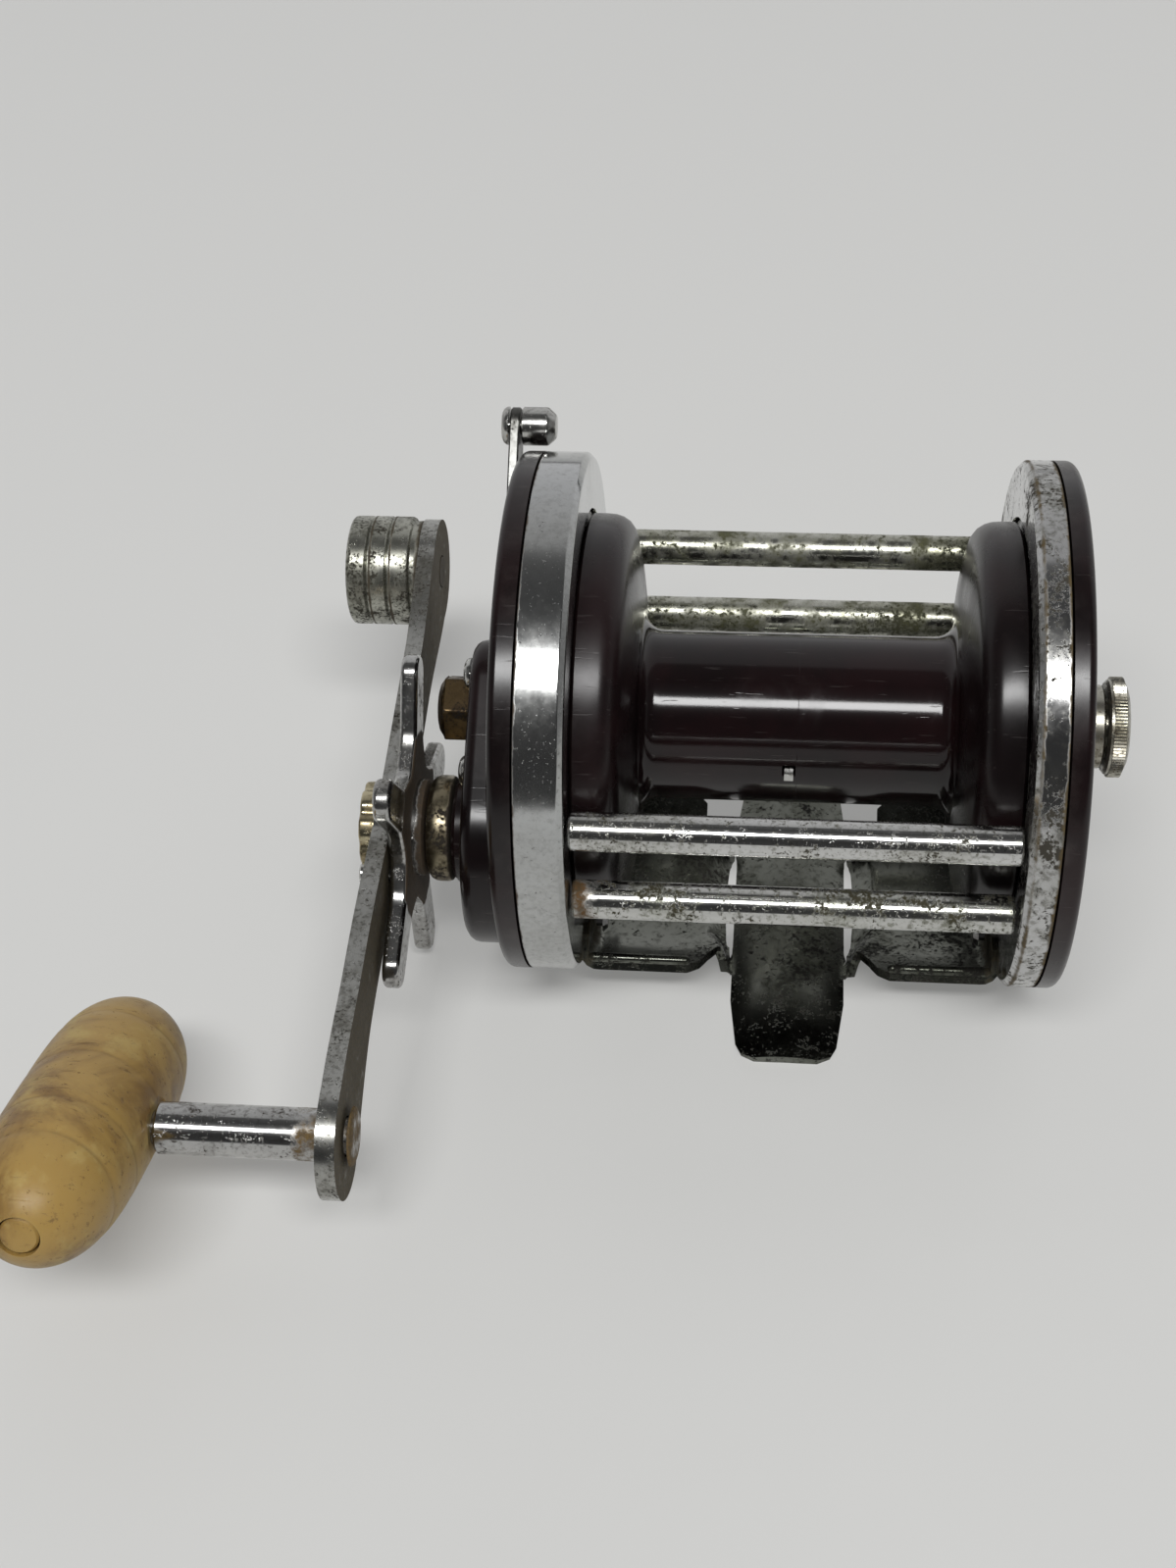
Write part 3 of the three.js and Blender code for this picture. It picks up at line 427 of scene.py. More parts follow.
# each metal: colours, how clouded and pitted it is, and bands of grime as (x centre, reach, strength) in
# mm; the spacer's band only makes it darker where it meets the housing boss
metals = {
    "ringChrome": {
        "clean": (0.49, 0.5, 0.5), "dull": (0.36, 0.36, 0.34), "pit": (0.04, 0.04, 0.04),
        "cloud": (38, 0.5), "pits": (1900, 0.35), "rough": (0.09, 0.27), "grimeColour": (0.09, 0.06, 0.035),
        "bands": [(-40.9, 1.1, 0.8), (38.2, 1.0, 0.7)], "bump": 0.5,
    },
    "wornRingChrome": {
        "clean": (0.5, 0.5, 0.5), "dull": (0.34, 0.34, 0.31), "pit": (0.05, 0.045, 0.035),
        "cloud": (60, 0.75), "pits": (1300, 1.15), "rough": (0.1, 0.3), "grimeColour": (0.12, 0.085, 0.035),
        "bands": [(38.1, 1.3, 0.8), (34.2, 0.8, 0.6)], "bump": 0.5,
    },
    "pillarChrome": {
        "clean": (0.58, 0.58, 0.57), "dull": (0.36, 0.36, 0.31), "pit": (0.05, 0.045, 0.03),
        "cloud": (55, 0.5), "pits": (1900, 1.0), "rough": (0.1, 0.28), "grimeColour": (0.1, 0.07, 0.035),
        "bands": [(-34.3, 3.0, 0.7), (34.3, 2.5, 0.6)], "bump": 0.25,
    },
    "pillarRusted": {
        "clean": (0.56, 0.56, 0.54), "dull": (0.33, 0.34, 0.28), "pit": (0.05, 0.045, 0.025),
        "cloud": (70, 0.7), "pits": (1700, 1.25), "rough": (0.12, 0.32),
        "grimeColour": (0.14, 0.075, 0.028),
        "bands": [(-33.5, 10.0, 0.6), (34.3, 2.5, 0.7)], "bump": 0.4,
    },
    "pillarGreened": {
        "clean": (0.5, 0.5, 0.45), "dull": (0.28, 0.28, 0.2), "pit": (0.045, 0.045, 0.025),
        "cloud": (75, 0.9), "pits": (1500, 0.9), "rough": (0.16, 0.36), "grimeColour": (0.1, 0.1, 0.05),
        "bands": [(-6.0, 46.0, 0.5), (-34.0, 8.0, 0.75), (20.0, 9.0, 0.55)], "bump": 0.5,
    },
    "footChrome": {
        "clean": (0.17, 0.175, 0.155), "dull": (0.075, 0.08, 0.062), "pit": (0.022, 0.02, 0.016),
        "cloud": (50, 0.85), "pits": (1500, 0.95), "rough": (0.14, 0.34), "grimeColour": (0.1, 0.085, 0.05),
        "bands": [(-32.6, 2.0, 0.65), (32.6, 2.0, 0.65)], "bump": 0.45,
    },
    "trimChrome": {
        "clean": (0.56, 0.56, 0.54), "dull": (0.32, 0.31, 0.29), "pit": (0.05, 0.045, 0.035),
        "cloud": (120, 0.5), "pits": (1900, 0.6), "rough": (0.14, 0.36), "grimeColour": (0.1, 0.07, 0.04),
        "bands": [], "bump": 0.25,
    },
    "armChrome": {
        "clean": (0.4, 0.4, 0.38), "dull": (0.17, 0.165, 0.14), "pit": (0.03, 0.026, 0.02),
        "cloud": (80, 0.8), "pits": (2200, 0.85), "rough": (0.2, 0.4), "grimeColour": (0.1, 0.08, 0.045),
        "bands": [], "stain": (0.85, 100.0), "bump": 0.45,
    },
    "weightChrome": {
        "clean": (0.42, 0.42, 0.37), "dull": (0.22, 0.22, 0.185), "pit": (0.04, 0.036, 0.026),
        "cloud": (120, 0.9), "pits": (2000, 1.0), "rough": (0.24, 0.42),
        "grimeColour": (0.075, 0.06, 0.038),
        "bands": [(-64.0, 1.3, 0.9), (-67.2, 1.4, 0.85), (-75.6, 0.45, 0.8), (-72.0, 0.45, 0.8)],
        "bump": 0.55,
    },
    "postChrome": {
        "clean": (0.46, 0.46, 0.45), "dull": (0.21, 0.2, 0.19), "pit": (0.04, 0.032, 0.025),
        "cloud": (90, 0.65), "pits": (2000, 0.85), "rough": (0.12, 0.32), "grimeColour": (0.17, 0.11, 0.04),
        "bands": [(-66.5, 8.5, 0.6), (-62.2, 1.0, 1.0)], "bump": 0.35,
    },
    "starChrome": {
        "clean": (0.5, 0.5, 0.49), "dull": (0.26, 0.25, 0.23), "pit": (0.04, 0.035, 0.028),
        "cloud": (85, 0.65), "pits": (2100, 0.7), "rough": (0.13, 0.34),
        "grimeColour": (0.075, 0.05, 0.028),
        "bands": [(-59.0, 1.6, 0.9)], "stain": (0.9, 14.5), "bump": 0.4,
    },
    "bladeSteel": {
        "clean": (0.12, 0.12, 0.115), "dull": (0.07, 0.068, 0.06), "pit": (0.02, 0.018, 0.014),
        "cloud": (120, 0.7), "pits": (1900, 0.6), "rough": (0.3, 0.45), "grimeColour": (0.05, 0.04, 0.03),
        "bands": [], "bump": 0.3,
    },
    "nickelPlate": {
        "clean": (0.42, 0.41, 0.36), "dull": (0.25, 0.23, 0.18), "pit": (0.07, 0.055, 0.035),
        "cloud": (160, 0.7), "pits": (1700, 0.8), "rough": (0.22, 0.42), "grimeColour": (0.08, 0.06, 0.04),
        "bands": [], "bump": 0.25,
    },
    "darkBrass": {
        "clean": (0.13, 0.09, 0.045), "dull": (0.05, 0.035, 0.022), "pit": (0.016, 0.012, 0.009),
        "cloud": (190, 0.9), "pits": (1900, 0.8), "rough": (0.32, 0.5),
        "grimeColour": (0.035, 0.026, 0.018),
        "bands": [(-51.4, 1.6, 0.7), (-57.0, 0.8, 0.5)], "bump": 0.5,
    },
    "nutBrass": {
        "clean": (0.56, 0.5, 0.34), "dull": (0.22, 0.17, 0.09), "pit": (0.04, 0.032, 0.02),
        "cloud": (260, 0.8), "pits": (2000, 0.6), "rough": (0.16, 0.36),
        "grimeColour": (0.06, 0.043, 0.028),
        "bands": [(-66.1, 0.7, 0.7)], "bump": 0.35,
    },
    "spacerBrass": {
        "clean": (0.27, 0.235, 0.16), "dull": (0.14, 0.115, 0.075), "pit": (0.03, 0.024, 0.017),
        "cloud": (230, 0.9), "pits": (1700, 0.95), "rough": (0.3, 0.5), "grimeColour": (0.05, 0.038, 0.027),
        # the band at x -54.2 makes the spacer darker where it meets the plastic boss of the handle side
        # plate
        "bands": [(-54.2, 1.2, 0.75)], "bump": 0.8,
    },
    "innerBrass": {
        "clean": (0.62, 0.5, 0.27), "dull": (0.36, 0.28, 0.14), "pit": (0.09, 0.07, 0.04),
        "cloud": (140, 0.5), "pits": (800, 0.25), "rough": (0.25, 0.4), "grimeColour": (0.09, 0.07, 0.04),
        "bands": [], "bump": 0.2,
    },
    "innerSteel": {
        "clean": (0.5, 0.5, 0.5), "dull": (0.3, 0.29, 0.28), "pit": (0.08, 0.065, 0.05),
        "cloud": (140, 0.5), "pits": (800, 0.3), "rough": (0.28, 0.42), "grimeColour": (0.09, 0.07, 0.05),
        "bands": [], "bump": 0.2,
    },
}


def opaque(colour):
    return (*colour, 1.0)


def makeMetal(name):
    look = metals[name]
    material, tree, shader, place = newMaterial(name)
    along = addNode(tree, "SeparateXYZ", {0: place}).outputs[0]
    grime = 0.0
    for centre, reach, strength in look["bands"]:
        mask = useGroup(tree, "band", {"Value": along, "Centre": centre * mm, "Reach": reach * mm})["Mask"]
        grime = calc(tree, "MAXIMUM", times(tree, mask, strength), grime)
    if "stain" in look:
        strength, reach = look["stain"]
        facing = addNode(tree, "SeparateXYZ", {0: addNode(tree, "TexCoord").outputs["Normal"]}).outputs[0]
        away = useGroup(tree, "radius", {"Vector": centred(tree, place, postAxis)})["Radius"]
        stained = times(tree, remap(tree, facing, 0.4, 0.8),
                        remap(tree, away, reach * mm, (reach + 2) * mm, strength, 0.0))
        grime = calc(tree, "MAXIMUM", stained, grime)
    aged = useGroup(tree, "agedMetal", {
        "Vector": place, "Clean": opaque(look["clean"]), "Dull": opaque(look["dull"]),
        "Pit": opaque(look["pit"]),
        "Grime Colour": opaque(look["grimeColour"]), "Cloud Size": look["cloud"][0],
        "Cloud Amount": look["cloud"][1],
        "Pit Size": look["pits"][0], "Pit Cover": look["pits"][1], "Grime": grime,
        "Clean Roughness": look["rough"][0], "Dull Roughness": look["rough"][1],
    })
    for socket in ("Base Color", "Roughness", "Metallic"):
        tree.links.new(aged["Color" if socket == "Base Color" else socket], shader[socket])
    addBump(tree, aged["Height"], shader, look["bump"], 0.12)
    return material


# dark moulded plastic: two close browns, rubbed edges, dust and faint turning lines
plastics = {
    "plateMoulded": {"base": (0.005, 0.003, 0.0032), "warm": (0.011, 0.0042, 0.0047),
                     "edge": (0.08, 0.07, 0.065),
                     "dust": (0.03, 0.026, 0.023), "amount": 0.4, "rough": (0.2, 0.32), "lines": 900,
                     "gloss": (0.001, 0.002)},
    "spoolMoulded": {"base": (0.005, 0.003, 0.0032), "warm": (0.01, 0.004, 0.0045),
                     "edge": (0.07, 0.062, 0.058),
                     "dust": (0.028, 0.025, 0.023), "amount": 0.4, "rough": (0.22, 0.34), "lines": 1100,
                     "gloss": (0.0142, 0.02)},
}


def makePlastic(name):
    look = plastics[name]
    material, tree, shader, place = newMaterial(name)
    middle = centred(tree, place, spoolAxis)
    size = useGroup(tree, "radius", {"Vector": middle})
    lines = useGroup(tree, "turned", {"Radius": size["Radius"], "Along": size["Along"],
                                      "Lines": look["lines"]})
    rubbed = useGroup(tree, "rubbed", {"Vector": place, "Amount": look["amount"]})
    cloud = noise(tree, place, 45.0, 6.0, 0.6)
    colour = blendColour(tree, remap(tree, cloud, 0.38, 0.66), opaque(look["base"]), opaque(look["warm"]))
    colour = blendColour(tree, times(tree, rubbed["Dust"], 0.4), colour, opaque(look["dust"]))
    colour = blendColour(tree, times(tree, rubbed["Scratch"], 0.25), colour, opaque(look["edge"]))
    colour = blendColour(tree, times(tree, rubbed["Edge"], 0.8), colour, opaque(look["edge"]))
    tree.links.new(colour, shader["Base Color"])
    rough = blendValue(tree, remap(tree, cloud, 0.35, 0.7), look["rough"][0], look["rough"][1])
    rough = blendValue(tree, remap(tree, size["Radius"], *look["gloss"]), 0.11, rough)
    rough = blendValue(tree, times(tree, rubbed["Dust"], 0.6), rough, 0.5)
    tree.links.new(rough, shader["Roughness"])
    shader["Specular IOR Level"].default_value = 0.36
    height = plus(tree, times(tree, lines["Height"], 0.2), times(tree, rubbed["Scratch"], -0.6))
    addBump(tree, plus(tree, height, times(tree, cloud, 0.5)), shader, 0.12, 0.1)
    return material


gripShape = {"length": 60.0, "radius": 11.0, "power": 4.0, "grooves": (-15.5, -2.5, 10.5, 18.5),
             "depth": 0.16}
plugLow, plugHigh = span("grip_plug")
plugMiddle = (plugLow + plugHigh) / 2
gripTurn = math.atan2(plugMiddle.z - gripAxis.z, plugMiddle.y - gripAxis.y)
amber = {"light": (0.345, 0.222, 0.066), "deep": (0.19, 0.108, 0.033), "pale": (0.43, 0.32, 0.115),
         "mark": (0.085, 0.042, 0.02)}


def makeAmber(name):
    material, tree, shader, place = newMaterial(name)
    local = addNode(tree, "Mapping", {"Vector": place, "Location": tuple(-gripAxis * mm)}).outputs[0]
    broad = noise(tree, local, 60.0, 5.0, 0.62, 0.6)
    colour = blendColour(tree, remap(tree, broad, 0.34, 0.56), opaque(amber["deep"]),
                         opaque(amber["light"]))
    mottled = noise(tree, local, 150.0, 6.0, 0.65)
    colour = blendColour(tree, times(tree, remap(tree, mottled, 0.5, 0.68), 0.65), colour,
                         opaque(amber["pale"]))
    specks = times(tree, minus(tree, noise(tree, local, 1100.0, 5.0, 0.75), 0.61), 14.0, clamp=True)
    stretched = addNode(tree, "Mapping", {"Vector": local, "Rotation": (0.35, 0.2, 0.5),
                                          "Scale": (1.0, 6.0, 6.0)}).outputs[0]
    scratches = times(tree, minus(tree, noise(tree, stretched, 130.0, 6.0, 0.72), 0.585), 12.0, clamp=True)
    marks = calc(tree, "MAXIMUM", specks, times(tree, scratches, 0.75))
    across = addNode(tree, "SeparateXYZ", {0: local}).outputs
    along = plus(tree, times(tree, across[1], math.cos(gripTurn)),
                 times(tree, across[2], math.sin(gripTurn)))
    for groove in gripShape["grooves"]:
        line = useGroup(tree, "band", {"Value": along, "Centre": groove * mm, "Reach": 0.6 * mm})["Mask"]
        marks = calc(tree, "MAXIMUM", marks, times(tree, line, remap(tree, mottled, 0.4, 0.6, 0.15, 0.5)))
    tree.links.new(blendColour(tree, times(tree, marks, 0.7), colour, opaque(amber["mark"])),
                   shader["Base Color"])
    rough = blendValue(tree, marks, remap(tree, mottled, 0.35, 0.7, 0.36, 0.5), 0.65)
    shader["Specular IOR Level"].default_value = 0.32
    tree.links.new(rough, shader["Roughness"])
    height = plus(tree, times(tree, marks, -1.0), times(tree, mottled, 0.4))
    addBump(tree, height, shader, 0.3, 0.12)
    shader["Subsurface Weight"].default_value = 0.15
    shader["Subsurface Radius"].default_value = (1.0, 0.6, 0.3)
    shader["Subsurface Scale"].default_value = 0.003
    return material


def makeFibre(name):
    material, tree, shader, place = newMaterial(name)
    grain = noise(tree, place, 900.0, 6.0, 0.7)
    tree.links.new(blendColour(tree, grain, (0.09, 0.055, 0.035, 1), (0.26, 0.17, 0.11, 1)),
                   shader["Base Color"])
    tree.links.new(remap(tree, grain, 0.3, 0.7, 0.75, 0.95), shader["Roughness"])
    addBump(tree, grain, shader, 0.4, 0.1)
    return material


looks = {name: makeMetal(name) for name in metals}
looks.update({name: makePlastic(name) for name in plastics})
looks["gripAmber"] = makeAmber("gripAmber")
looks["washerFibre"] = makeFibre("washerFibre")
print("materials made:", len(looks))


# rings and pillars

ringShape = {"bore": 32.5, "lip": 0.9, "edge": 0.22}


def makeRing(node, side):
    low, high = span(node)
    near, far = (low.x, high.x) if side > 0 else (-high.x, -low.x)
    radius = (high.z - low.z) / 2
    lip, bore = ringShape["lip"], ringShape["bore"]
    outline = [(near, bore), (near, radius - lip), (near + lip, radius), (far, radius), (far, bore),
               (near, bore)]
    bm = lathe(outline, 160, ringShape["edge"], 3)
    if side < 0:
        flip(bm)
    shift(bm, z=spoolAxis.z)
    look = looks["wornRingChrome"] if side > 0 else looks["ringChrome"]
    return makePiece(bm, node + "_shell", look, "frame", [node])


makeRing("handle_ring", -1)
makeRing("tail_ring", 1)

pillarLooks = {"pillar_front_upper": "pillarChrome", "pillar_front_lower": "pillarRusted",
               "pillar_rear_upper": "pillarGreened", "pillar_rear_lower": "pillarGreened"}
for node in pillarLooks:
    low, high = span(node)
    middle, thick = (low + high) / 2, (high.z - low.z) / 2
    shape = [(low.x, 0), (low.x, thick - 0.3), (low.x + 0.4, thick), (high.x - 0.4, thick),
             (high.x, thick - 0.3), (high.x, 0)]
    bm = shift(lathe(shape, 48, 0.1), y=middle.y, z=middle.z)
    makePiece(bm, node + "_bar", looks[pillarLooks[node]], "frame", [node])

print("rings and pillars made")


# the stand: one sheet, cut with notches, wrapped round the spool and arched along the middle

stand = {
    "radius": 41.4, "thickness": 1.4, "wingEdge": 32.7, "fold": 1.6, "sideDepth": 4.4,
    "frontSpan": 32.7, "rearSpan": 28.3, "tongueHalf": 9.5, "tipHalf": 7.7, "tongueEnd": 34.8,
    "archRadius": 30.8,
    "beadRadius": 0.85, "notchInner": 9.9, "notchOuter": 15.0, "tipSlope": 19, "blend": 5.2, "step": 1.9,
}


def flatSheet(outline, stepX, stepY):
    bm = bmesh.new()
    face = bm.faces.new([bm.verts.new((x, y, 0)) for x, y in outline])
    if face.normal.z < 0:
        bmesh.ops.reverse_faces(bm, faces=[face])
    bmesh.ops.triangulate(bm, faces=bm.faces[:])
    width = max(abs(x) for x, y in outline)
    depth = max(abs(y) for x, y in outline)
    for axis, reach, step in ((0, width, stepX), (1, depth, stepY)):
        normal = Vector((1, 0, 0)) if axis == 0 else Vector((0, 1, 0))
        count = int(reach / step)
        for i in range(-count, count + 1):
            bmesh.ops.bisect_plane(bm, geom=bm.verts[:] + bm.edges[:] + bm.faces[:], dist=0.0001,
                                   plane_co=normal * (i * step + 0.013), plane_no=normal)
    return bm


def wrapStand(co):
    x, s = co.x, co.y
    radius, edge, fold = stand["radius"], stand["wingEdge"], stand["fold"]
    archZ = math.sqrt(max(stand["archRadius"] ** 2 - x * x,
                          0)) - stand["archRadius"] if abs(x) < 14 else -3.36
    tongue = Vector((x, s, archZ - spoolAxis.z))
    over = abs(x) - (edge - fold)
    wingX, rise = x, 0.0
    if over > 0:
        quarter = math.pi / 2 * fold
        angle = min(over, quarter) / fold
        wingX = math.copysign(edge - fold + fold * math.sin(angle), x)
        rise = fold * (1 - math.cos(angle)) + max(over - quarter, 0)
    angle = s / radius
    wing = Vector((wingX, (radius - rise) * math.sin(angle), -(radius - rise) * math.cos(angle)))
    far = min(max((abs(s) - 8.5) / 5.5, 0), 1)
    reach = stand["blend"] - (stand["blend"] - stand["step"]) * far * far * (3 - 2 * far)
    share = min(max((abs(x) - stand["tongueHalf"]) / reach, 0), 1)
    share = share * share * (3 - 2 * share)
    return tongue.lerp(wing, share)


def makeStand():
    radius, half, tip, end = stand["radius"], stand["tongueHalf"], stand["tipHalf"], stand["tongueEnd"]
    front, rear = -math.radians(stand["frontSpan"]) * radius, math.radians(stand["rearSpan"]) * radius
    side = stand["wingEdge"] + stand["fold"] * 0.57 + stand["sideDepth"]
    inner, outer = stand["notchInner"], stand["notchOuter"]
    rearSide = [(half, end - 14), (half, 15.8), (inner + 0.9, 14.6), (outer - 1.2, 14.6), (outer, 15.8),
                (outer, rear - 1.2),
                (outer + 1.2, rear), (side - 1.5, rear), (side, rear - 2.5)]
    frontSide = [(side, front + 2.5), (side - 1.5, front), (outer + 1.5, front), (outer - 0.4, front + 2.6),
                 (13.4, -17.4),
                 (12.2, -15.0), (11.2, -14.4), (10.4, -14.6), (half, -16.4), (half, 14 - end)]
    rearTip = [(tip + 0.5, end - 3.2), (tip - 0.4, end - 1.1), (tip - 2.4, end)]
    frontTip = [(x, -y) for x, y in reversed(rearTip)]
    right = rearTip[::-1] + rearSide + frontSide + frontTip[::-1]
    outline = right + [(-x, y) for x, y in reversed(right)]
    bm = flatSheet(outline, 0.7, 1.2)
    bmesh.ops.remove_doubles(bm, verts=bm.verts, dist=0.01)
    for vert in bm.verts:
        vert.co = wrapStand(vert.co)
    bmesh.ops.recalc_face_normals(bm, faces=bm.faces)
    if sum(f.normal.z * f.calc_area() for f in bm.faces) > 0:
        bmesh.ops.reverse_faces(bm, faces=bm.faces)
    bmesh.ops.solidify(bm, geom=bm.faces[:], thickness=-stand["thickness"])
    # each tip is ground off on a slope, which leaves a curved line across the arch
    sideDrop = stand["archRadius"] - math.sqrt(stand["archRadius"] ** 2 - tip * tip)
    for vert in bm.verts:
        back = end - abs(vert.co.y)
        if back < 5 and abs(vert.co.x) < half:
            rise = back * math.tan(math.radians(stand["tipSlope"]))
            top = stand["thickness"] - sideDrop - spoolAxis.z + rise
            vert.co.z = min(vert.co.z, top)
    beads = []
    bead = stand["beadRadius"]
    angle = math.radians(stand["frontSpan"])
    for sign in (-1, 1):
        length = stand["wingEdge"] - stand["notchOuter"] - 1.0
        shape = [(0, 0)] + arc(bead, 0, bead, 180, 90, 4)[1:] + arc(length - bead, 0, bead, 90, 0,
                                                                    4)[:-1] + [(length, 0)]
        roll = lathe(shape, 24)
        middle = radius - stand["thickness"] / 2
        shift(roll, stand["notchOuter"] + 1.0, -middle * math.sin(angle), -middle * math.cos(angle))
        beads.append(flip(roll) if sign < 0 else roll)
    bm = gather(bm, *beads)
    return shift(bm, z=spoolAxis.z)


makePiece(makeStand(), "stand_sheet", looks["footChrome"], "frame", ["foot_stand"], 0.2, 40)
print("stand made")


# side plates

housing = {"wall": 1.7, "round": 2.0}


def cup(out, ringBack):
    rim = 41.4
    spigot, wall = 32.2, 2.3
    outline = [(out, 0), (out, rim - 1.3)] + arc(out - 1.3, rim - 1.3, 1.3, 0, 90, 6)[1:] + [
        (ringBack + 0.3, rim), (ringBack + 0.3, spigot), (34, spigot), (34, spigot - wall),
        (out - 3, spigot - wall), (out - 3, 0)]
    return lathe(outline, 160)


def screwRecess(node, face):
    low, high = span(node)
    middle = (low + high) / 2
    ends = sorted((face - math.copysign(1.0, face), face * 1.3))
    return shift(gather(rod(1.5, -60, 60, 24), rod(2.8, *ends, 40)), y=middle.y, z=middle.z - spoolAxis.z)


def lobes():
    postY, postZ = postAxis.y, postAxis.z - spoolAxis.z
    return [(0, 0, 10.4), (postY, postZ, 18.2), (7.1, -10, 10.4), (-1.5, 5, 8.2)]


def makeHandlePlate():
    postY, postZ = postAxis.y, postAxis.z - spoolAxis.z
    top = -51.3
    bm = flip(cup(44.5, 40.6))
    bm = combine(bm, hull(lobes(), rounding(-43.5, top, housing["round"])), "UNION")
    boss = [(-50, 0), (-50, 10.2), (-51.3, 10.0), (-51.7, 9.2), (-52.3, 8.7), (-53.3, 8.6)]
    boss += [(-53.9, 7.9), (-53.9, 0)]
    bm = combine(bm, shift(lathe(boss, 72), y=postY, z=postZ), "UNION")
    cavity = [(-41, housing["wall"]), (top + housing["wall"], housing["wall"])]
    bm = combine(bm, hull(lobes(), cavity))
    bores = [shift(rod(6.6, -60, -48), y=postY, z=postZ), rod(4.3, -60, -48),
             shift(rod(2.26, -50, -38), y=leverAxis.y, z=leverAxis.z - spoolAxis.z)]
    for number in (1, 2):
        corner = sum(span(f"housing_screw_{number}"), Vector()) / 2
        bores.append(shift(rod(1.2, -60, -48, 24), y=corner.y, z=corner.z - spoolAxis.z))
    for bore in bores:
        bm = combine(bm, bore)
    for number in (1, 2, 3):
        bm = combine(bm, screwRecess(f"handle_plate_screw_{number}", -44.5))
    return shift(bm, z=spoolAxis.z)


makePiece(makeHandlePlate(), "handle_side_plate", looks["plateMoulded"], "frame",
          ["handle_plate"])

clickTurn = math.atan2(-direction("click_slide").z, -direction("click_slide").y)


def makeTailPlate():
    bm = cup(41.4, 37.9)
    bm = combine(bm, lathe([(40.5, 0), (40.5, 9.9), (41.4, 9.9), (41.7, 9.6), (42.3, 9.5), (42.6, 9.1),
                            (42.6, 0)], 96), "UNION")
    slot = hull([(17.5, 0, 1.9), (14.5, 0, 1.9)], [(30, 0), (50, 0)], 24)
    bm = combine(bm, turn(slot, clickTurn))
    bm = combine(bm, rod(6.9, 30, 50, 64))
    for number in (1, 2, 3):
        bm = combine(bm, screwRecess(f"tail_plate_screw_{number}", 41.4))
    return shift(bm, z=spoolAxis.z)


makePiece(makeTailPlate(), "tail_side_plate", looks["plateMoulded"], "frame",
          ["tail_plate"])
print("side plates made")


# screws: a domed or flat head with a slot across it

def makeScrew(node, headRadius, headHeight, dome, shank, length, side, slotTurn, material,
              slotWide=0.5):
    outline = [(-headHeight, 0)]
    if dome:
        count = 6
        for i in range(1, count + 1):
            share = i / count
            outline.append((-headHeight * (1 - share ** 2.2),
                            headRadius * math.sin(math.pi / 2 * share) ** 0.9))
    else:
        outline += [(-headHeight, headRadius - 0.15), (-headHeight + 0.15, headRadius), (0, headRadius)]
    outline += [(0, shank), (length, shank), (length, 0)]
    bm = lathe(outline, 48)
    cutter = shift(box(1.2, 2.4 * headRadius, slotWide), x=-headHeight)
    bm = combine(bm, turn(cutter, slotTurn))
    if side > 0:
        flip(bm)
    low, high = span(node)
    middle = (low + high) / 2
    start = low.x + headHeight if side < 0 else high.x - headHeight
    shift(bm, start, middle.y, middle.z)
    return makePiece(bm, node + "_turned", material, "frame", [node])


for number in (1, 2, 3):
    makeScrew(f"handle_plate_screw_{number}", 2.5, 0.6, False, 1.2, 3, -1, number * 1.1,
              looks["nickelPlate"])
    makeScrew(f"tail_plate_screw_{number}", 2.5, 0.6, False, 1.2, 2.6, 1, number * 0.8,
              looks["nickelPlate"])
for number in (1, 2):
    makeScrew(f"housing_screw_{number}", 2.6, 1.2, True, 0.9, 2.4, -1, number * 1.7, looks["trimChrome"])
print("screws made")


# bearing caps

hexCap = {"radius": 5.7, "height": 4.8, "foot": -51.6, "twist": 0.09, "bore": 3.1}


def makeHexCap():
    bm = bmesh.new()
    bmesh.ops.create_circle(bm, cap_ends=True, segments=6, radius=hexCap["radius"])
    bmesh.ops.rotate(bm, cent=(0, 0, 0), matrix=Matrix.Rotation(math.pi / 2, 3, "Y"), verts=bm.verts)
    extrudeAlong(bm, -hexCap["height"])
    bmesh.ops.recalc_face_normals(bm, faces=bm.faces)
    soften(bm, 0.35, 3)
    turn(bm, math.pi / 6 - hexCap["twist"])
    shift(bm, x=hexCap["foot"])
    nose = lathe([(-56.2, 0), (-56.2, 5.2), (-56.6, 4.8), (-57.2, 3.9), (-57.4, 3.2), (-57.4, 0)], 64, 0.1)
    neck = lathe([(-52, 0), (-52, 4), (-49.8, 4), (-49.8, 0)], 48)
    bm = combine(combine(bm, nose, "UNION"), neck, "UNION")
    bm = combine(bm, rod(hexCap["bore"], -54.5, -49))
    return shift(bm, z=spoolAxis.z)


makePiece(makeHexCap(), "hex_cap", looks["darkBrass"], "frame", ["hex_bearing_cap"])

housingShape = [(37.2, 3.4), (37.2, 6.6), (47.5, 6.6), (47.8, 6.3), (47.8, 4.5), (50.3, 4.5), (50.3, 3.4),
                (37.2, 3.4)]
makePiece(shift(lathe(housingShape, 80, 0.1), z=spoolAxis.z), "tail_bearing_tube", looks["nickelPlate"],
          "frame",
          ["tail_bearing_housing"])


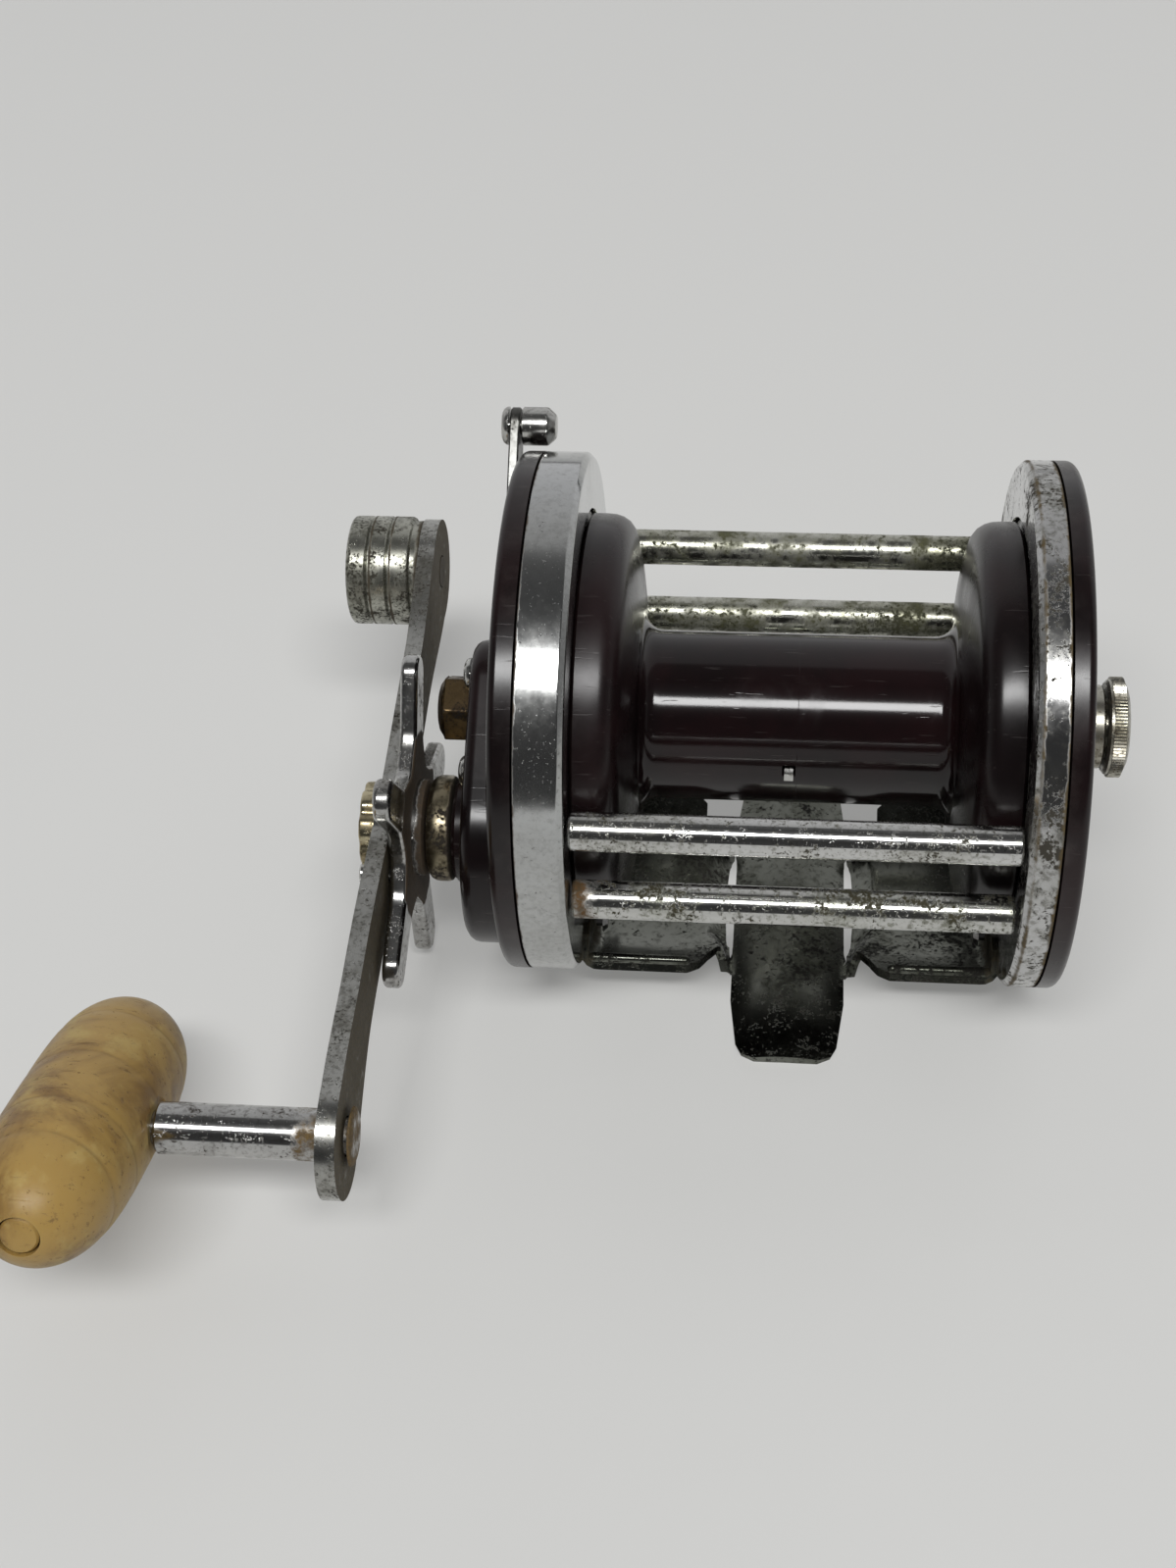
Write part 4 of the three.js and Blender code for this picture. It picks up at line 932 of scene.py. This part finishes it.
def makeTailCap():
    knurls = 90
    bm = bmesh.new()
    bmesh.ops.create_circle(bm, cap_ends=True, segments=knurls * 2, radius=7.72)
    bmesh.ops.rotate(bm, cent=(0, 0, 0), matrix=Matrix.Rotation(math.pi / 2, 3, "Y"), verts=bm.verts)
    for vert in bm.verts:
        if round(math.atan2(vert.co.z, vert.co.y) / math.pi * knurls) % 2:
            vert.co.y, vert.co.z = vert.co.y * 1.03, vert.co.z * 1.03
    extrudeAlong(bm, 1.9)
    bmesh.ops.recalc_face_normals(bm, faces=bm.faces)
    shift(bm, x=48.9)
    shell = lathe([(48.1, 0), (48.1, 7.0), (48.5, 7.5), (49.2, 7.6), (50.6, 7.6), (51.1, 7.2), (51.5, 6.3),
                   (51.6, 5.4), (51.6, 0)], 96)
    bm = combine(bm, shell, "UNION")
    bm = combine(bm, rod(4.56, 47, 50.7, 64))
    return shift(bm, z=spoolAxis.z)


makePiece(makeTailCap(), "tail_cap_knurled", looks["nickelPlate"], "tail_cap",
          ["tail_bearing_cap"])

buttonShape = [(41.9, 0), (41.9, 3.5), (42.2, 3.75), (43.6, 3.9), (44.0, 3.6), (44.25, 2.9), (44.15, 1.8),
               (43.9, 0)]
button = combine(lathe(buttonShape, 64), lathe([(37.8, 0), (37.8, 1.6), (42.2, 1.6), (42.2, 0)], 40),
                 "UNION")
turn(shift(button, y=17.5), clickTurn)
makePiece(shift(button, z=spoolAxis.z), "click_knob", looks["trimChrome"], "click",
          ["click_button"])
print("caps and click button made")


# spool

spoolShape = {"arbor": 13.5, "flange": 31.8, "half": 33.5, "fillet": 3.2, "seam": 0.2,
              "peg": (-1.0, -13.5, 0.7)}


def makeSpool():
    arbor, flange, half = spoolShape["arbor"], spoolShape["flange"], spoolShape["half"]
    fillet = spoolShape["fillet"]
    right = arc(21.4, arbor + fillet, fillet, -90, -12, 8)
    right += [(24.8, 19.0), (25.1, 22.0), (25.55, 25.2), (26.1, 28.0), (26.6, 29.6), (27.4, 30.7),
              (28.4, 31.35), (29.5, 31.7),
              (30.8, flange), (32.9, flange), (33.3, flange - 0.4), (half, flange - 0.9), (half, 27.5),
              (32.7, 26.9), (32.7, 9.5),
              (half, 8.9), (half, 1.85)]
    seam = spoolShape["seam"]
    left = [(-x, r) for x, r in reversed(right)]
    outline = left + [(seam - 0.07, arbor), (seam, arbor - 0.035), (seam + 0.07, arbor)] + right + [left[0]]
    bm = lathe(outline, 160)
    x, y, z = spoolShape["peg"]
    recess = soften(box(2.1, 6, 2.1), 0.2)
    bm = combine(bm, shift(recess, x, y + 1.2, z))
    return shift(bm, z=spoolAxis.z)


makePiece(makeSpool(), "spool_drum", looks["spoolMoulded"], "spool", ["spool"])
peg = soften(box(1.5, 3.0, 1.5), 0.14)
x, y, z = spoolShape["peg"]
makePiece(shift(peg, x, y, z + spoolAxis.z), "line_stud", looks["trimChrome"], "spool",
          ["line_peg"])
print("spool made")


# free-spool lever

leverShape = {"plate": (-47.3, -45.7), "pivotRadius": 5.0, "endRadius": 3.0}
knobMiddle = sum(span("lever_knob"), Vector()) / 2
leverTurn = math.atan2(knobMiddle.z - leverAxis.z, knobMiddle.y - leverAxis.y)
leverReach = math.hypot(knobMiddle.z - leverAxis.z, knobMiddle.y - leverAxis.y)


def placeLever(bm):
    return shift(turn(bm, leverTurn), y=leverAxis.y, z=leverAxis.z)


outer, inner = leverShape["plate"]
blade = hull([(0, 0, leverShape["pivotRadius"]), (leverReach, 0, leverShape["endRadius"])],
             [(inner, 0.25), (inner - 0.25, 0), (outer + 0.25, 0), (outer, 0.25)])
blade = combine(blade, rod(2.5, -49, -45))
blade = combine(blade, shift(rod(1.5, -50, -45, 32), y=leverReach))
makePiece(placeLever(blade), "lever_blade", looks["bladeSteel"], "lever", ["lever_plate"])
knobShape = [(-48.7, 0), (-48.7, 2.3), (-48.45, 2.75), (-48.0, 3.05), (-47.6, 3.1), (-47.6, 1.2),
             (-45.4, 1.2), (-45.4, 2.9), (-45.2, 3.1),
             (-41.5, 3.1), (-41.2, 3.0), (-40.2, 2.1), (-40.0, 1.8), (-40.0, 0)]
knob = shift(lathe(knobShape, 56), y=leverReach)
makePiece(placeLever(knob), "lever_thumb", looks["trimChrome"], "lever", ["lever_knob"])
print("lever made")


# drive parts on the gear post

def placeDrive(bm):
    return shift(bm, y=postAxis.y, z=postAxis.z)


spacerShape = [(-58.2, 4.7), (-58.2, 6.9), (-58.0, 7.7), (-57.6, 8.2), (-57.0, 8.5), (-56.2, 8.6),
               (-55.0, 8.6), (-54.5, 8.4), (-54.2, 7.9), (-54.2, 6.2),
               (-48.3, 6.2), (-48.3, 4.7), (-57.9, 4.7)]
makePiece(placeDrive(lathe(spacerShape, 80)), "spacer_turned", looks["spacerBrass"], "drive",
          ["spacer_sleeve"])

starShape = {"arms": 5, "phase": 127.0, "reach": 28.0, "half": 3.3, "root": 14.5, "valley": 11.4,
             "thick": 2.8}


def makeStar():
    low, high = span("star_wheel")
    reach, half, root = starShape["reach"], starShape["half"], starShape["root"]
    bm = bmesh.new()
    ring = []
    for i in range(starShape["arms"]):
        angle = math.radians(starShape["phase"] + 360 / starShape["arms"] * i)
        for along, off in ((root, -half * 1.05), (reach, -half), (reach, half), (root, half * 1.05)):
            y = along * math.cos(angle) - off * math.sin(angle)
            z = along * math.sin(angle) + off * math.cos(angle)
            ring.append(bm.verts.new((0, y, z)))
        valley = angle + math.pi / starShape["arms"]
        ring.append(bm.verts.new((0, starShape["valley"] * math.cos(valley),
                                  starShape["valley"] * math.sin(valley))))
    bm.faces.new(ring)
    tips = [v for v in bm.verts if v.co.length > reach - 1]
    inner = [v for v in bm.verts if v.co.length < reach - 1]
    bmesh.ops.bevel(bm, geom=tips, offset=half * 0.97, offset_type="OFFSET", segments=8, profile=0.5,
                    affect="VERTICES", clamp_overlap=True, material=-1)
    inner = [v for v in inner if v.is_valid]
    bmesh.ops.bevel(bm, geom=inner, offset=1.6, offset_type="OFFSET", segments=4, profile=0.5,
                    affect="VERTICES", clamp_overlap=True, material=-1)
    extrudeAlong(bm, starShape["thick"])
    bmesh.ops.recalc_face_normals(bm, faces=bm.faces)
    soften(bm, 0.75, 4, 50)
    shift(bm, x=low.x)
    hub = lathe([(low.x + 1, 0), (low.x + 1, 7.8), (high.x - 0.6, 7.8), (high.x - 0.3, 7.3),
                 (high.x - 0.3, 0)], 72)
    bm = combine(bm, hub, "UNION")
    bm = combine(bm, rod(4.7, low.x - 3, high.x + 3, 64))
    return placeDrive(bm)


makePiece(makeStar(), "star_drag_wheel", looks["starChrome"], "star", ["star_wheel"], 0,
          36)
print("star made")


# handle: arm, nut, counterweight, grip post and cross grip

armShape = {"end": 9.3, "middle": 7.6, "bar": 6.2, "spread": 26.0, "thick": 2.9, "bend": 0.7, "sag": 0.6}
gripReach = math.hypot(gripAxis.y - postAxis.y, gripAxis.z - postAxis.z)
weightLow, weightHigh = span("counterweight")
weightMiddle = (weightLow + weightHigh) / 2
weightReach = math.hypot(weightMiddle.y - postAxis.y, weightMiddle.z - postAxis.z)


def placeHandle(bm):
    return placeDrive(turn(bm, armTurn))


def armWidth(s):
    width = 0.0
    for centre, radius in ((gripReach, armShape["end"]), (0, armShape["middle"]),
                           (-weightReach, armShape["end"])):
        away = abs(s - centre)
        width = max(width, math.sqrt(max(radius * radius - away * away, 0)))
    if -weightReach < s < gripReach:
        blend = 0.0
        for centre in (gripReach, -weightReach):
            away = abs(s - centre)
            blend = max(blend, 1 - min(away / armShape["spread"], 1))
        blend = blend * blend * (3 - 2 * blend)
        width = max(width, armShape["bar"] + blend * 0.9 * (armShape["end"] - armShape["bar"]))
    return min(width, armShape["end"])


def armBend(s):
    share = max(-1, min(1, s / gripReach))
    if share < 0:
        return -armShape["bend"] * abs(share) ** 1.5
    return 0.4 * armShape["bend"] * share ** 2 - armShape["sag"] * math.sin(math.pi * share)


def makeArm():
    high = span("handle_arm")[1]
    start, stop = -weightReach - armShape["end"], gripReach + armShape["end"]
    bm = bmesh.new()
    bmesh.ops.create_grid(bm, x_segments=180, y_segments=8, size=1)
    for vert in bm.verts:
        share = (vert.co.x + 1) / 2
        share = 0.5 - 0.5 * math.cos(math.pi * share) * (1 - 0.35 * math.sin(math.pi * share) ** 2)
        s = start + (stop - start) * share
        vert.co = Vector((high.x - armShape["thick"] + armBend(s), s, vert.co.y * armWidth(s)))
    bmesh.ops.remove_doubles(bm, verts=bm.verts, dist=0.02)
    bmesh.ops.recalc_face_normals(bm, faces=bm.faces)
    if sum(f.normal.x * f.calc_area() for f in bm.faces) > 0:
        bmesh.ops.reverse_faces(bm, faces=bm.faces)
    extrudeAlong(bm, armShape["thick"])
    bmesh.ops.recalc_face_normals(bm, faces=bm.faces)
    soften(bm, 0.5, 3, 50)
    for radius, reach in ((4.7, 0), (2.95, gripReach), (2.95, -weightReach), (1.3, 10)):
        bm = combine(bm, shift(rod(radius, -72, -58), y=reach))
    return placeHandle(bm)


makePiece(makeArm(), "handle_bar", looks["armChrome"], "drive", ["handle_arm"], 0, 36)


def makeNut():
    low, high = span("handle_nut")
    bm = bmesh.new()
    bmesh.ops.create_circle(bm, cap_ends=True, segments=128, radius=1)
    bmesh.ops.rotate(bm, cent=(0, 0, 0), matrix=Matrix.Rotation(math.pi / 2, 3, "Y"), verts=bm.verts)
    for vert in bm.verts:
        angle = math.atan2(vert.co.z, vert.co.y)
        radius = 7.25 - 0.75 * abs(math.sin(4 * angle)) ** 6 - 0.1 * abs(math.cos(4 * angle))
        vert.co.y, vert.co.z = radius * math.cos(angle), radius * math.sin(angle)
    extrudeAlong(bm, low.x - high.x)
    bmesh.ops.recalc_face_normals(bm, faces=bm.faces)
    soften(bm, 0.45, 3, 50)
    shift(bm, x=high.x)
    bm = combine(bm, rod(4.7, low.x - 2, high.x + 2, 64))
    return placeHandle(bm)


makePiece(makeNut(), "handle_nut_scalloped", looks["nutBrass"], "drive", ["handle_nut"], 0,
          36)

lockLow, lockHigh = span("nut_lock_screw")
lock = lathe([(lockLow.x, 0), (lockLow.x, 1.5), (lockLow.x + 0.3, 1.85), (-66.0, 1.9), (-66.0, 1.0),
              (lockHigh.x, 1.0), (lockHigh.x, 0)], 40)
lock = combine(lock, shift(box(1.2, 5, 0.5), x=lockLow.x))
lockMiddle = (lockLow + lockHigh) / 2
makePiece(shift(lock, y=lockMiddle.y, z=lockMiddle.z), "lock_screw_turned", looks["trimChrome"], "drive",
          ["nut_lock_screw"])


def makeWeight():
    radius, groove = 9.7, 0.32
    outline = [(-79.2, 0), (-79.2, 8.9), (-79.05, 9.3), (-78.75, 9.6), (-78.3, 9.7)]
    for centre in (-75.6, -72.0):
        outline += [(centre - groove, radius), (centre, radius - 0.3), (centre + groove, radius)]
    outline += [(-68.6, 9.7), (-68.2, 9.5), (-67.9, 9.0), (-67.7, 8.9), (-66.6, 9.0), (-66.2, 8.7),
                (-66.0, 2.7), (-63.3, 2.7), (-63.3, 0)]
    return placeHandle(shift(lathe(outline, 96), x=-armShape["bend"], y=-weightReach))


makePiece(makeWeight(), "counterweight_turned", looks["weightChrome"], "drive",
          ["counterweight"])

postShape = [(-108, 0), (-108, 2.4), (-91.2, 2.4), (-91.2, 3.6), (-90.9, 3.85), (-66.5, 3.85), (-66.0, 3.7),
             (-65.9, 2.7), (-62.6, 2.7), (-62.6, 4.4),
             (-62.35, 4.3), (-62.1, 3.7), (-62.0, 2.6), (-62.1, 0)]
makePiece(placeHandle(shift(lathe(postShape, 72), x=0.25, y=gripReach)), "grip_post_turned",
          looks["postChrome"], "drive",
          ["grip_post"])


def makeGrip():
    half, radius = gripShape["length"] / 2, gripShape["radius"]
    count = 90
    outline = []
    for i in range(count + 1):
        s = -math.cos(math.pi * i / count) * half
        r = radius * math.sqrt(max(1 - abs(s / half) ** gripShape["power"], 0))
        for place in gripShape["grooves"]:
            r -= gripShape["depth"] * math.exp(-((s - place) / 0.55) ** 2) if r > 3 else 0
        outline.append((s, 0 if i in (0, count) else r))
    bm = lathe(outline, 112)
    bm = combine(bm, rod(3.1, 25, 40, 48))
    turn(bm, math.pi / 2, "Z")
    bm = combine(bm, rod(2.46, -6.2, 20, 48))
    bm = combine(bm, lathe([(10.4, 0), (10.4, 4.6), (11.6, 5.6), (14, 5.8), (14, 0)], 64))
    return shift(turn(bm, gripTurn), *gripAxis)


makePiece(makeGrip(), "grip_barrel", looks["gripAmber"], "grip", ["grip"])
plug = lathe([(25.3, 0), (25.3, 2.8), (28.9, 2.8), (29.25, 2.5), (29.4, 1.6), (29.45, 0)], 48)
turn(plug, math.pi / 2, "Z")
makePiece(shift(turn(plug, gripTurn), *gripAxis), "grip_end_plug", looks["gripAmber"], "grip",
          ["grip_plug"])
print("handle made")


# the inner pieces keep their own shapes

innerLooks = {
    "innerBrass": ["handle_bushing", "tail_bushing", "bridge_plate", "pinion", "main_gear", "click_gear"],
    "innerSteel": ["foot_screw_handle_1", "foot_screw_handle_2", "foot_screw_tail_1", "foot_screw_tail_2",
                   "gear_post",
                   "guide_post_upper", "guide_post_lower", "dog_pin", "fork_spring_1", "fork_spring_2",
                   "click_tongue",
                   "spool_shaft", "pinion_fork", "lever_cam", "gear_sleeve", "ratchet",
                   "drag_washer_middle", "dog"],
    "washerFibre": ["drag_washer_inner", "drag_washer_outer"],
}
for look, nodes in innerLooks.items():
    for node in nodes:
        piece = frame["nodes"][node]
        if not piece.material_slots:
            piece.data.materials.append(looks[look])
        for place in piece.material_slots:
            place.material = looks[look]
print("inner pieces finished")


# floor, light and camera

studio = {
    "floor": (0.44, 0.44, 0.43), "floorGlow": 0.2, "floorSize": 6.0, "floorHeight": cadBounds[0].z,
    "camera": (-0.002356, -0.262700, 0.271337), "lens": 49.83,
    "right": (0.99562, 0.08620, -0.03629), "up": (-0.03212, 0.67957, 0.73291),
    "sky": [(0.0, 0.06), (0.2, 0.04), (0.29, 0.1), (0.4, 0.12), (0.48, 0.06), (0.62, 0.13), (0.64, 0.46),
            (0.75, 0.56), (1.0, 0.66)],
}


def makeFloor():
    bm = bmesh.new()
    bmesh.ops.create_grid(bm, x_segments=2, y_segments=2, size=studio["floorSize"] / 2)
    bmesh.ops.translate(bm, vec=(0, 0, studio["floorHeight"]), verts=bm.verts)
    floor = asObject(bm, "floor")
    bpy.context.scene.collection.objects.link(floor)
    material, tree, shader, place = newMaterial("floorPaint")
    patch = noise(tree, place, 9.0, 6.0, 0.6)
    low = tuple(v * 0.94 for v in studio["floor"])
    tree.links.new(blendColour(tree, patch, opaque(low), opaque(studio["floor"])), shader["Base Color"])
    tree.links.new(remap(tree, patch, 0.3, 0.7, 0.42, 0.55), shader["Roughness"])
    shader["Emission Color"].default_value = (1, 1, 0.98, 1)
    shader["Emission Strength"].default_value = studio["floorGlow"]
    floor.data.materials.append(material)


makeFloor()


def makeLight(name, size, power, place, aim, colour=(1, 1, 1)):
    light = bpy.data.lights.new(name, "AREA")
    light.shape, light.size, light.size_y = "RECTANGLE", size[0], size[1]
    light.energy, light.color = power, colour
    lamp = bpy.data.objects.new(name, light)
    lamp.location = place
    lamp.rotation_euler = (Vector(aim) - Vector(place)).to_track_quat("-Z", "Y").to_euler()
    bpy.context.scene.collection.objects.link(lamp)


makeLight("ceilingPanel", (1.9, 0.45), 62.0, (0.1, -1.32, 2.24), (0, 0, 0.04))

world = bpy.data.worlds.new("studio")
bpy.context.scene.world = world
world.use_nodes = True
sky = world.node_tree
sky.nodes.clear()
ray = addNode(sky, "TexCoord").outputs["Generated"]
parts = addNode(sky, "SeparateXYZ", {0: ray}).outputs
# from the front horizon over the top to the back horizon
turnedBy = calc(sky, "ARCTAN2", parts[2], times(sky, parts[1], -1.0))
ramp = addNode(sky, "ValToRGB", {0: calc(sky, "DIVIDE", turnedBy, math.pi, clamp=True)})
bands = ramp.color_ramp.elements
while len(bands) < len(studio["sky"]):
    bands.new(0.5)
for band, (where, tone) in zip(bands, studio["sky"]):
    band.position, band.color = where, (tone, tone, tone * 1.01, 1)
aside = remap(sky, calc(sky, "ABSOLUTE", parts[0]), 0.75, 0.98)
shade = addNode(sky, "Background", {"Color": blendColour(sky, aside, ramp.outputs[0],
                                                         (0.28, 0.28, 0.28, 1)), "Strength": 1.0})
sky.links.new(shade.outputs[0], addNode(sky, "OutputWorld").inputs[0])

lens = bpy.data.cameras.new("camera")
lens.lens, lens.sensor_width, lens.sensor_fit = studio["lens"], 36.0, "AUTO"
lens.clip_start, lens.clip_end = 0.01, 20
camera = bpy.data.objects.new("camera", lens)
right, up = Vector(studio["right"]).normalized(), Vector(studio["up"]).normalized()
back = right.cross(up).normalized()
up = back.cross(right)
turnMatrix = Matrix((right, up, back)).transposed().to_4x4()
camera.matrix_world = Matrix.Translation(studio["camera"]) @ turnMatrix
bpy.context.scene.collection.objects.link(camera)
bpy.context.scene.camera = camera
bpy.context.scene.view_settings.view_transform = "Standard"
print("studio made")
